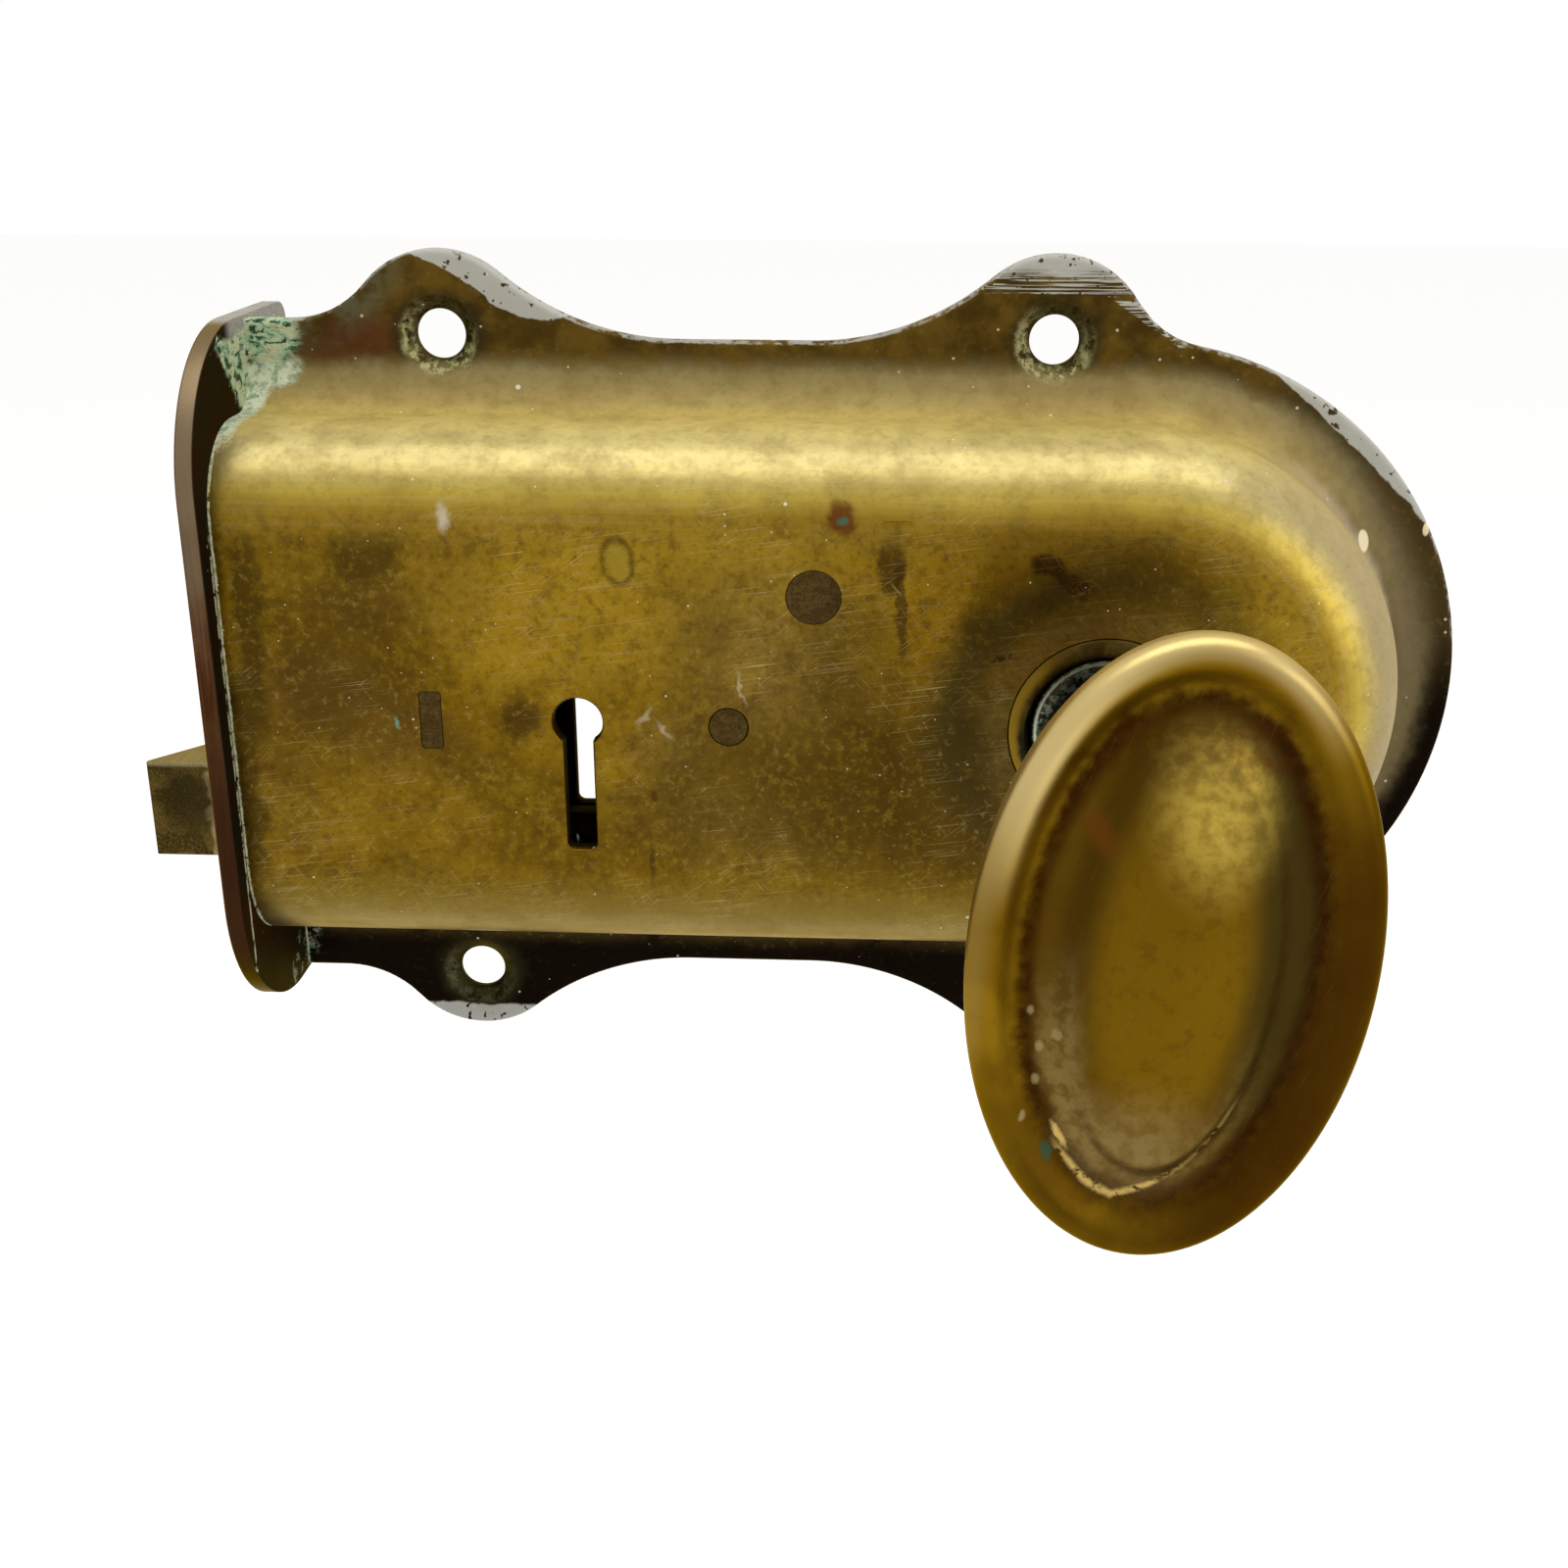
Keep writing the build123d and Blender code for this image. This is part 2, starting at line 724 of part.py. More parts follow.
def knob_sections():
    """Depth, half width and half height of each oval section, from the back over the rim to the boss."""
    sections = []
    for step in range(knob_steps + 1):
        turn = math.radians(90 * step / knob_steps)
        depth = knob_rim_depth - (knob_rim_depth - knob_back_depth) * math.cos(turn)
        spread = math.sin(turn) ** 2
        width = neck_top_radius + (knob_half_width - neck_top_radius) * spread
        height = neck_top_radius + (knob_half_height - neck_top_radius) * spread
        sections.append((depth, width, height))
    for step in range(1, knob_steps + 1):
        turn = math.radians(180 * step / knob_steps)
        inset = rim_width * (1 - math.cos(turn)) / 2
        depth = knob_rim_depth + rim_height * math.sin(turn)
        sections.append((depth, knob_half_width - inset, knob_half_height - inset))
    groove_width, groove_height = knob_half_width - rim_width, knob_half_height - rim_width
    for step in range(1, knob_steps + 1):
        part = step / knob_steps
        rise = boss_rise * math.sin(math.radians(90 * part))
        width = groove_width + (boss_half_width - groove_width) * part
        height = groove_height + (boss_half_height - groove_height) * part
        sections.append((knob_rim_depth + rise, width, height))
    for size in crown_sizes:
        rise = boss_rise + boss_crown * (1 - size**2)
        sections.append((knob_rim_depth + rise, size * boss_half_width, size * boss_half_height))
    return sections


def make_knob():
    ovals = []
    for depth, half_width, half_height in knob_sections():
        place = Plane.XZ.offset(depth) * Pos(spindle_x, 0) * Rot(0, 0, -square_lean)
        ovals.append(place * Ellipse(half_width, half_height))
    return loft(ovals, ruled=True)


def make_dead_bolt():
    back, front = tail_depth, tail_depth + tail_thickness
    head = bar(forend_face_x, dead_head_length, dead_low_z, dead_high_z, back, bolt_front_depth)
    heel_x = forend_face_x + dead_head_length
    tail = bar(heel_x, dead_tail_end_x - heel_x, dead_tail_low_z, dead_high_z, back, front)
    talon = RectangleRounded(talon_width, talon_width, talon_corner)
    notch = Pos(key_x, talon_top_z - talon_width / 2) * talon
    tail -= slab(notch, 0, bolt_front_depth)
    radius = lever_pivot_radius + pin_gap
    slot = Pos(lever_pivot_x + dead_travel / 2, lever_pivot_z) * SlotCenterToCenter(dead_travel, 2 * radius)
    tail -= slab(slot, 0, bolt_front_depth)
    tail -= slab(stump_sketch(), 0, bolt_front_depth)
    return head + tail


def stump_sketch():
    return Pos(stump_x, stump_z) * Rectangle(stump_side, stump_side)


def make_bolt_stump():
    return slab(stump_sketch(), tail_depth, stump_front_depth)


def stump_drop(travel):
    """How far the stump's centre lies, in a lever's own frame, when the bolt has gone some way."""
    turn = math.radians(lever_lift * travel / dead_travel)
    x, z = stump_x - travel - lever_pivot_x, stump_z - lever_pivot_z
    return (
        lever_pivot_x + x * math.cos(turn) - z * math.sin(turn),
        lever_pivot_z + z * math.cos(turn) + x * math.sin(turn),
    )


def lever_window():
    """Two pockets for the stump, and the gate between them that it passes when the lever is lifted."""
    window = Sketch()
    for x, low_z in ((stump_x, near_pocket_low_z), (far_stump_x, far_pocket_low_z)):
        middle = Pos(x, (low_z + pocket_top_z) / 2)
        window += middle * Rectangle(2 * pocket_half_width, pocket_top_z - low_z)
    near, far = stump_drop(dead_travel * gate_share), stump_drop(dead_travel * (1 - gate_share))
    slope = (near[1] - far[1]) / (near[0] - far[0])
    half = stump_side / 2 * (1 + slope) + gate_gap
    gate = make_face(
        Polyline(
            (near[0], near[1] - half),
            (near[0], near[1] + half),
            (far[0], far[1] + half),
            (far[0], far[1] - half),
            close=True,
        )
    )
    return window + gate


def lever_sketch():
    web = make_face(
        Polyline(
            (lever_end_x, lever_low_z),
            (lever_end_x, lever_top_z),
            (lever_pivot_x, lever_top_z),
            (lever_pivot_x, lever_pivot_z - lever_eye_radius),
            (key_x + lever_belly_radius, lever_low_z),
            close=True,
        )
    )
    form = web + Pos(lever_pivot_x, lever_pivot_z) * Circle(lever_eye_radius)
    form -= Pos(key_x, 0) * Circle(lever_belly_radius)
    form -= Pos(lever_pivot_x, lever_pivot_z) * Circle(lever_pivot_radius + lever_hole_gap)
    return form - lever_window()


def make_lever(index):
    low = lever_back_depth + index * lever_pitch
    return slab(lever_sketch(), low, low + lever_thickness)


def make_lever_spring(index):
    """A leaf that stands up from the lever's top edge towards the wall of the case."""
    low = lever_back_depth + index * lever_pitch + (lever_thickness - lever_spring_width) / 2
    thick = lever_spring_thickness
    strip = make_face(
        Polyline(
            (lever_spring_foot_x + lever_spring_foot, lever_top_z),
            (lever_spring_foot_x + lever_spring_foot, lever_top_z + thick),
            (lever_spring_foot_x, lever_top_z + thick),
            (lever_spring_end_x, lever_spring_end_z + thick),
            (lever_spring_end_x, lever_spring_end_z),
            (lever_spring_foot_x, lever_top_z),
            close=True,
        )
    )
    return slab(strip, low, low + lever_spring_width)


def make_parts():
    parts = {
        "case": make_case(),
        "forend_plate": make_forend_plate(),
        "forend_screws": make_forend_screws(),
        "back_plate": make_back_plate(),
        "back_plate_screws": make_back_plate_screws(),
        "cap_pillar": make_cap_pillar(),
        "lever_pivot": make_lever_pivot(),
        "bolt_fence": slab(fence_sketch(), fence_back_depth, body_depth),
        "spring_stump": slab(tall_stump_sketch(), tall_stump_back_depth, body_depth),
        "follower_stop": slab(stop_sketch(), stop_back_depth, body_depth),
        "hub_bush": make_hub_bush(),
        "latch_guide_pin": make_latch_guide_pin(),
        "latch_spring_seat": make_spring_seat(),
        "latch_spring_rod": make_spring_rod(),
        "latch_spring": make_latch_spring(),
        "latch_bolt": make_latch_bolt(),
        "follower": make_follower(),
        "spindle": make_spindle(),
        "knob_neck": make_knob_neck(),
        "knob": make_knob(),
        "knob_grub_screw": make_grub_screw(),
        "dead_bolt": make_dead_bolt(),
        "dead_bolt_stump": make_bolt_stump(),
    }
    for index in range(lever_count):
        parts[f"lever_{index + 1}"] = make_lever(index)
        parts[f"lever_spring_{index + 1}"] = make_lever_spring(index)
    return parts


os.makedirs("parts", exist_ok=True)
for name, solid in make_parts().items():
    export_step(solid, f"parts/{name}.step")
    print(name, round(solid.volume, 1))
print("least gap between the spring's turns", round(spring_gap(), 2))
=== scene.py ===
# %% [markdown]
# # An old brass rim lock
#
# This file dresses the imported model of a brass rim lock: its worn case, the oval knob, the bolts and the
# green crust that damp has left in its corners. The sizes of the lock are written in millimetres, as on a
# drawing, and each finished mesh is brought down to metres once. The camera, the lamps and the floor, which
# aren't part of the lock, are placed in metres.
#
# The imported model comes first. It is the frame that everything else is set against, so it is loaded
# before anything is made, and its box is kept, to be printed at the end beside the box of the dressed scene.

# %% Load the frame
import json
import math
import bmesh
import bpy
import numpy
from mathutils import Matrix, Vector, noise


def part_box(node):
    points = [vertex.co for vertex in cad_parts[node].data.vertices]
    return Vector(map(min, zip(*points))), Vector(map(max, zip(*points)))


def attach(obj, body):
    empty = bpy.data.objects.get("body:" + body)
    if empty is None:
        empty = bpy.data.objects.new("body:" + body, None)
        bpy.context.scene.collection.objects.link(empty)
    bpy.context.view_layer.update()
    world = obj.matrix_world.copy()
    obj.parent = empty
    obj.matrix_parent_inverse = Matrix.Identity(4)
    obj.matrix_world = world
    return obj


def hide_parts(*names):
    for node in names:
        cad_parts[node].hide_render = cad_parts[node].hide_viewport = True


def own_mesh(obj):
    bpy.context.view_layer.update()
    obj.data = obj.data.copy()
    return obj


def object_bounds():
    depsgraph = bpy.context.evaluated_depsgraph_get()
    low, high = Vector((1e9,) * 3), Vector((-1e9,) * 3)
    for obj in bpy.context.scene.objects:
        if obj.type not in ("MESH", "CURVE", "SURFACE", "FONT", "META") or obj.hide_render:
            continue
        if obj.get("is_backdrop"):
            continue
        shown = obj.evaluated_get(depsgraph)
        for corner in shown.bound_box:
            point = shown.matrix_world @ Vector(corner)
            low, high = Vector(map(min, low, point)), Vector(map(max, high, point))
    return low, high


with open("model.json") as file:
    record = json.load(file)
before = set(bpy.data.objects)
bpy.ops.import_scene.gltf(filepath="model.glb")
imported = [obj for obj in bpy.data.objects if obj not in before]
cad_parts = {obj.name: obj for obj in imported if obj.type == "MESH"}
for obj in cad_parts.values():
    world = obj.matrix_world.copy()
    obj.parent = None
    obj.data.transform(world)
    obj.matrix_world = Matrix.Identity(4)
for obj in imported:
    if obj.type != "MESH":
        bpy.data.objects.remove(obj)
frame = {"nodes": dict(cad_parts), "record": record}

cad_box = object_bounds()
MM = 0.001

# %% [markdown]
# ## The camera
#
# A photograph fixes where its camera stood once enough known points are matched. These values come from
# such a match on the screw holes, the corners of the forend and the knob. The lens is a plain one, close
# to the lock, which is why the knob looks so large against the case. The small shift sets the frame as it
# was cropped and changes nothing in the perspective.

# %% Camera
camera_place = Vector((0.01941, -0.23162, 0.07378))
LENS, SENSOR, SHIFT = 43.08, 36.0, (-0.0261, -0.0067)
look_down, look_left, camera_roll = math.radians(20.69), math.radians(-2.37), math.radians(0.28)


def camera_axes():
    """Right, up and forward of the camera, from its two angles and its roll."""
    flat = math.cos(look_down)
    forward = Vector((math.sin(look_left) * flat, math.cos(look_left) * flat, -math.sin(look_down)))
    right = Vector((math.cos(look_left), -math.sin(look_left), 0.0))
    up = right.cross(forward)
    turned_right = right * math.cos(camera_roll) + up * math.sin(camera_roll)
    turned_up = up * math.cos(camera_roll) - right * math.sin(camera_roll)
    return turned_right, turned_up, forward


right, up, forward = camera_axes()
camera = bpy.data.objects.new("camera", bpy.data.cameras.new("camera"))
camera.data.lens, camera.data.sensor_width = LENS, SENSOR
camera.data.shift_x, camera.data.shift_y = SHIFT
camera.data.clip_start, camera.data.clip_end = 0.01, 20.0
camera.matrix_world = Matrix.Translation(camera_place) @ Matrix((right, up, -forward)).transposed().to_4x4()
bpy.context.scene.collection.objects.link(camera)
bpy.context.scene.camera = camera
print("camera stands", [round(c, 3) for c in camera_place])

# %% [markdown]
# ## A bench for nodes
#
# Finishes and growing rules are both trees of nodes, and a tree is easier to read when it is written as
# sums. A Wire wraps one socket, and each sign between wires adds the Math node that does it, so that
# `1 - mask` works. Colours and places go through Mix and Vector Math instead, because a Math node would
# turn them grey. Every other node comes from one method of the bench: its kind, its settings, then the
# values or wires of its sockets.


# %% Wires and the bench
class Wire:
    """One output of a node, with which Python can reckon."""

    def __init__(self, bench, socket):
        self.bench = bench
        self.socket = socket

    def other(self, name):
        """Another output of the same node."""
        return Wire(self.bench, self.socket.node.outputs[name])

    def maths(self, operation, *others):
        """A Math node whose first value is this one."""
        return self.bench.maths(operation, self, *others)

    def __add__(self, other):
        return self.maths("ADD", other)

    def __sub__(self, other):
        return self.maths("SUBTRACT", other)

    def __rsub__(self, other):
        return self.bench.maths("SUBTRACT", other, self)

    def __mul__(self, other):
        return self.maths("MULTIPLY", other)

    def __truediv__(self, other):
        return self.maths("DIVIDE", other)

    def __pow__(self, other):
        return self.maths("POWER", other)

    __radd__ = __add__
    __rmul__ = __mul__


class Bench:
    """A tree of nodes that is being built."""

    def __init__(self, tree):
        self.tree = tree

    def add(self, kind, settings=None, values=None, output=0):
        """Adds a node: its settings are made first, and then its sockets are filled or joined."""
        node = self.tree.nodes.new(kind)
        for name, setting in (settings or {}).items():
            if name == "stops":
                self.set_stops(node.color_ramp, setting)
            else:
                setattr(node, name, setting)
        for key, value in (values or {}).items():
            if isinstance(value, Wire):
                self.tree.links.new(value.socket, node.inputs[key])
            else:
                node.inputs[key].default_value = value
        return Wire(self, node.outputs[output]) if node.outputs else None

    @staticmethod
    def set_stops(ramp, stops):
        """Gives a ramp its stops, from pairs of a place and a colour."""
        while len(ramp.elements) < len(stops):
            ramp.elements.new(0.5)
        for element, (place, tone) in zip(ramp.elements, stops):
            element.position, element.color = place, (*tone, 1.0)

    def maths(self, operation, *values):
        return self.add("ShaderNodeMath", {"operation": operation}, dict(enumerate(values)))

    def vector(self, operation, *values):
        return self.add("ShaderNodeVectorMath", {"operation": operation}, dict(enumerate(values)))

    def length(self, value):
        return self.add("ShaderNodeVectorMath", {"operation": "LENGTH"}, {0: value}, "Value")

    def xyz(self, x, y, z):
        return self.add("ShaderNodeCombineXYZ", None, {"X": x, "Y": y, "Z": z})

    def parts(self, value):
        return [self.add("ShaderNodeSeparateXYZ", None, {0: value}, axis) for axis in "XYZ"]

    def smooth(self, share):
        """Eases a share of 0 to 1 in and out."""
        return share * share * (3 - share * 2)

    def fade(self, value, low, high, bottom=0.0, top=1.0):
        """Goes smoothly from bottom to top while the value goes from low to high."""
        values = {"Value": value, "From Min": low, "From Max": high, "To Min": bottom, "To Max": top}
        return self.add("ShaderNodeMapRange", {"interpolation_type": "SMOOTHSTEP"}, values)


print("bench ready")

# %% [markdown]
# ## The words of a metal finish
#
# Old brass is never one colour. Where hands and cloths rub it, it stays pale; in the hollows it goes olive,
# brown and nearly black; water leaves stains with soft edges; and a fine dust of white specks and hair
# scratches lies over it all. A Finish is a bench with words for these: clouds, streaks, specks, hairs and
# spots, each of which gives a mask from 0 to 1. `lay` lays one more tone over the colour so far, where its
# mask says. The masks also wear the roughness up or down, and raise a height in millimetres that becomes a
# bump.
#
# Everything reads Object coordinates, which stay with the piece when it moves, so a stain doesn't slide
# over the knob when it turns.


# %% Finish
EDGE_TINT = (0.86, 0.70, 0.42, 1.0)


class Finish(Bench):
    """A material's nodes, with words for what age does to metal, and the surface as it is so far."""

    def __init__(self, name):
        self.material = bpy.data.materials.new(name)
        self.material.use_nodes = True
        super().__init__(self.material.node_tree)
        self.tree.nodes.clear()
        place = self.add("ShaderNodeTexCoord", None, None, "Object")
        self.at = self.vector("MULTIPLY", place, (1 / MM, 1 / MM, 1 / MM))
        self.x, self.y, self.z = self.parts(self.at)
        self.colour = self.rough = self.height = None
        self.shine = 1.0

    def mix(self, mask, under, over):
        """Lays one colour over another where the mask is 1."""
        under, over = [c if isinstance(c, Wire) else (*c, 1.0) for c in (under, over)]
        return self.add("ShaderNodeMix", {"data_type": "RGBA"}, {0: mask, 6: under, 7: over}, 2)

    def lay(self, mask, tone):
        """Lays one more tone over the surface's colour so far."""
        self.colour = self.mix(mask, self.colour, tone)

    def laid(self, colour, *layers):
        """Another colour, with tones over it that are pairs of a mask and a tone."""
        for mask, tone in layers:
            colour = self.mix(mask, colour, tone)
        return colour

    def ramp(self, value, low, high, tones):
        """A colour for each value between low and high, from pairs of a value and a colour."""
        stops = [((at - low) / (high - low), tone) for at, tone in tones]
        share = self.add("ShaderNodeMapRange", None, {"Value": value, "From Min": low, "From Max": high})
        return self.add("ShaderNodeValToRGB", {"stops": stops}, {0: share})

    def shifted(self, shift):
        """The place, moved by the same length along each axis, so that noise on it is new."""
        return self.vector("ADD", self.at, (shift, shift, shift))

    def rotated(self, at, degrees):
        """A place, turned on the front."""
        values = {"Vector": at, "Angle": math.radians(degrees)}
        return self.add("ShaderNodeVectorRotate", {"rotation_type": "Y_AXIS"}, values)

    def cloud(self, size, detail=3.0, rough=0.55, at=None, shift=0.0, warp=0.0):
        """Soft noise from 0 to 1, whose lumps are about the given size in millimetres."""
        moved = self.vector("ADD", at or self.at, (shift, shift * 0.7, -shift * 1.3))
        values = {"Vector": moved, "Scale": 1 / size, "Detail": detail, "Roughness": rough, "Distortion": warp}
        return self.add("ShaderNodeTexNoise", None, values, "Fac")

    def streaks(self, at, length, width, low, high, shift=0.0):
        """Thin marks that run along the first axis of the place that is given."""
        drawn = self.vector("MULTIPLY", at, (1 / length, 1 / width, 1 / width))
        return self.fade(self.cloud(1.0, detail=1.0, at=drawn, shift=shift), low, high)

    def hairs(self, turn, length, width, shift, share=0.66):
        """Hair scratches over the front, at an angle from level."""
        flat = self.vector("MULTIPLY", self.rotated(self.at, turn), (1.0, 0.2, 1.0))
        return self.streaks(flat, length, width, share, share + 0.05, shift)

    def specks(self, size, spacing, share, shift=0.0):
        """Small round dots of mixed sizes in some of the cells of a random net."""
        values = {"Vector": self.shifted(shift), "Scale": 1 / spacing}
        cells = self.add("ShaderNodeTexVoronoi", None, values, "Color")
        pick, dice, _ = self.parts(cells)
        radius = dice * dice * (size / spacing) + size * 0.3 / spacing
        dots = self.maths("LESS_THAN", cells.other("Distance"), radius)
        return dots * self.maths("LESS_THAN", pick, share)

    def on_front(self, centre, size=(1.0, 1.0), turn=0.0, at=None):
        """Distance on the front from a centre, measured in half sizes that may be turned from level."""
        moved = self.vector("SUBTRACT", at or self.at, (centre[0], 0.0, centre[1]))
        if turn:
            moved = self.rotated(moved, turn)
        return self.length(self.vector("MULTIPLY", moved, (1 / size[0], 0.0, 1 / size[1])))

    def spot(self, centre, size, turn=0.0, soft=0.35, at=None):
        """An oval on the front that fades out over its edge."""
        return self.fade(self.on_front(centre, size, turn, at), 1 + soft, 1 - soft)

    def lay_spots(self, spots, tone, soft, at, within=None):
        """Lays a tone on each spot of a list: its centre, its half sizes, its turn and its strength."""
        for x, z, half_width, half_height, turn, strength in spots:
            mask = self.spot((x, z), (half_width, half_height), turn, soft, at) * strength
            self.lay(mask if within is None else mask * within, tone)

    def band(self, value, middle, width, soft=0.5):
        """1 where a value is near the middle of a band of that width."""
        off = self.maths("ABSOLUTE", value - middle)
        return self.fade(off, width * 0.5 * (1 + soft), width * 0.5 * (1 - soft))

    def most(self, *masks):
        """Wherever any of the masks reaches."""
        whole = masks[0]
        for mask in masks[1:]:
            whole = self.maths("MAXIMUM", whole, mask)
        return whole

    def warped(self, size, reach, shift=0.0):
        """The place, pushed about, which gives ragged edges to what is drawn on it."""
        values = {"Vector": self.shifted(shift), "Scale": 1 / size, "Detail": 3.0, "Roughness": 0.6}
        push = self.add("ShaderNodeTexNoise", None, values, "Color")
        centred = self.vector("SUBTRACT", push, (0.5, 0.5, 0.5))
        return self.vector("ADD", self.at, self.vector("MULTIPLY", centred, (reach * 2, reach * 2, reach * 2)))

    def finish(self):
        """Joins what was painted to the surface."""
        bump = self.add("ShaderNodeBump", None, {"Strength": 1.0, "Distance": MM, "Height": self.height})
        values = {
            "Base Color": self.colour, "Roughness": self.rough, "Metallic": self.shine,
            "Specular Tint": EDGE_TINT, "Normal": bump,
        }
        surface = self.add("ShaderNodeBsdfPrincipled", None, values)
        self.add("ShaderNodeOutputMaterial", None, {"Surface": surface})
        return self.material


print("finish ready")

# %% [markdown]
# ## The aged brass of the case
#
# The case is the piece that the eye rests on, so its finish is painted as it wore, with some of its light
# and shade painted in as well. Three things lay it out. The distance from the case's middle line tells the
# flat front from the rounded shoulder, the hollow root and the flange. The height tells top from bottom: the
# upper shoulder carries a painted highlight, and the underside is painted dark as shade. And an attribute
# on the mesh, the gap to the flange's edge, lets old grey paint cling along the edge however it curves. The
# stains, ovals and streaks are then put where they lie on the real lock, with ragged edges, over clouds of
# olive, gold and brown. Near the knob, some dark spots are a painted shadow and reflection of the knob.
#
# The tones of the shoulder are a list: each has the distance run from the middle line, over the front,
# round the shoulder and down the wall. The spots are lists too: the centre, the half sizes, the turn from
# level in degrees, and the strength of each.

# %% Case tones
GOLD, OLIVE, UMBER = (0.262, 0.150, 0.007), (0.145, 0.080, 0.004), (0.050, 0.028, 0.004)
VIOLET, RUST, BLACK = (0.092, 0.046, 0.010), (0.10, 0.024, 0.007), (0.010, 0.006, 0.004)
PAINT, CREAM, VERDIGRIS = (0.40, 0.40, 0.36), (0.50, 0.48, 0.29), (0.14, 0.30, 0.20)
LEFT_X, ROUND_X, RISE, SPINDLE_X = -61.1, 47.2, 1.1, 43.9
SCREWS = [(-37.25, 42.9), (37.25, 42.9), (-37.25, -42.9), (37.25, -42.9)]
# The upper tones hold a painted highlight along the upper shoulder and its root. The lower tones darken towards
# the underside as painted shade.
lit_upper_tones = [
    (-2.0, (0.225, 0.135, 0.008)), (3.4, (0.28, 0.17, 0.013)), (6.4, (0.45, 0.325, 0.05)),
    (9.5, (0.43, 0.34, 0.115)), (12.7, (0.40, 0.335, 0.145)), (16.0, (0.52, 0.43, 0.165)),
    (19.0, (0.56, 0.45, 0.145)), (23.0, (0.56, 0.435, 0.125)), (27.6, (0.47, 0.355, 0.10)),
    (30.5, (0.32, 0.24, 0.072)), (33.0, (0.285, 0.22, 0.078)), (35.2, (0.27, 0.215, 0.088)),
    (37.6, (0.15, 0.12, 0.05)),
]
shaded_lower_tones = [
    (-2.0, (0.140, 0.084, 0.006)), (3.4, (0.170, 0.110, 0.015)), (6.4, (0.20, 0.140, 0.032)),
    (10.0, (0.27, 0.210, 0.085)), (13.0, (0.26, 0.205, 0.095)), (19.0, (0.22, 0.172, 0.080)),
    (24.0, (0.12, 0.085, 0.03)), (30.0, (0.03, 0.019, 0.007)), (35.2, (0.008, 0.005, 0.003)),
]
crust_tones = [
    (0.37, (0.012, 0.018, 0.008)), (0.41, (0.030, 0.085, 0.045)), (0.44, (0.11, 0.25, 0.14)),
    (0.475, (0.30, 0.44, 0.28)), (0.53, (0.44, 0.50, 0.33)), (0.58, CREAM), (0.66, (0.20, 0.17, 0.06)),
]
# Dark spots: stains, and round the knob a painted shadow and reflection of the knob.
stains_and_knob_shade = [
    (-43.2, 21.0, 4.2, 4.2, 0, 0.8), (-57.6, 11.0, 1.7, 15.0, 0, 0.85),
    (-46.0, 8.0, 9.0, 11.0, 20, 0.45), (-52.5, -3.0, 6.0, 5.0, 0, 0.4),
    (27.0, -9.0, 17.0, 13.0, -20, 0.8), (14.0, 8.0, 7.0, 8.0, 0, 0.4), (48.5, 22.4, 8.0, 2.6, 4, 0.4),
    (57.5, 20.5, 5.0, 4.0, 30, 0.3), (3.0, -9.0, 14.0, 8.0, 0, 0.5), (-25.9, 0.2, 2.3, 2.3, 0, 0.7),
    (12.0, 6.5, 2.4, 3.2, 0, 0.4), (-34.0, -3.5, 3.2, 4.0, 0, 0.5), (18.7, -6.5, 1.1, 11.0, 2, 0.4),
    (-59.6, -10.0, 1.5, 16.0, 0, 0.8),
]
smears = [
    (36.3, 20.0, 2.0, 1.3, -15, 0.9), (39.2, 17.9, 2.3, 1.1, -35, 0.85), (18.2, 20.3, 1.5, 3.8, 0, 0.8),
    (19.5, 14.6, 0.7, 5.6, 4, 0.75), (-10.5, -18.0, 0.4, 3.6, 3, 0.7), (31.6, 9.0, 1.7, 0.2, 14, 0.9),
    (43.0, 9.5, 2.4, 0.35, 0, 0.85), (-54.5, -20.0, 2.2, 0.5, 8, 0.5), (-10.2, -9.0, 0.5, 0.7, 0, 0.7),
    (-25.9, 0.2, 2.2, 2.2, 0, 0.45), (-50.6, -20.3, 0.9, 0.7, 0, 0.65),
    (-31.7, -21.0, 1.2, 0.8, 0, 0.35),
]
golds = [
    (-50.9, -13.6, 6.0, 3.0, 0, 0.35), (-31.0, 12.0, 5.0, 8.0, 30, 0.35),
    (-4.0, 22.0, 15.0, 4.0, 0, 0.45), (62.5, 14.0, 4.0, 8.0, 25, 0.6), (-14.0, 10.0, 8.0, 7.0, 0, 0.35),
    (26.0, 23.0, 12.0, 3.0, 0, 0.5), (-20.0, 18.0, 30.0, 5.0, 0, 0.35), (-15.3, 25.9, 1.2, 1.6, 0, 0.6),
]
greys = [
    (4.0, 8.0, 10.0, 11.0, 20, 0.45), (1.0, -13.0, 13.0, 6.0, -10, 0.35),
    (-8.0, -3.0, 4.0, 4.0, 0, 0.35),
]
violets = [
    (-51.0, 4.0, 7.0, 5.0, 15, 0.7), (-42.0, -1.0, 6.0, 7.0, 0, 0.55), (-44.0, 14.5, 6.0, 4.0, 0, 0.55),
    (-33.0, 19.0, 5.0, 7.0, 0, 0.25), (-55.0, -12.0, 5.0, 8.0, 0, 0.35),
]
ticks = [
    (-33.7, 24.8, 0.75, 1.4, 0, 0.65), (0.7, 4.6, 0.16, 1.8, 12, 0.32),
    (-10.8, 0.9, 0.35, 1.2, -35, 0.32), (-8.6, -0.7, 0.3, 1.3, 40, 0.32),
]
print(sum(len(spots) for spots in (stains_and_knob_shade, smears, golds, greys, violets, ticks)), "marks to paint")

# %% [markdown]
# A noise is by far the dearest node, and a bump asks for its height three times. So a few clouds are made
# once and used for everything. They are kept with the places that tell where on the case a point lies.


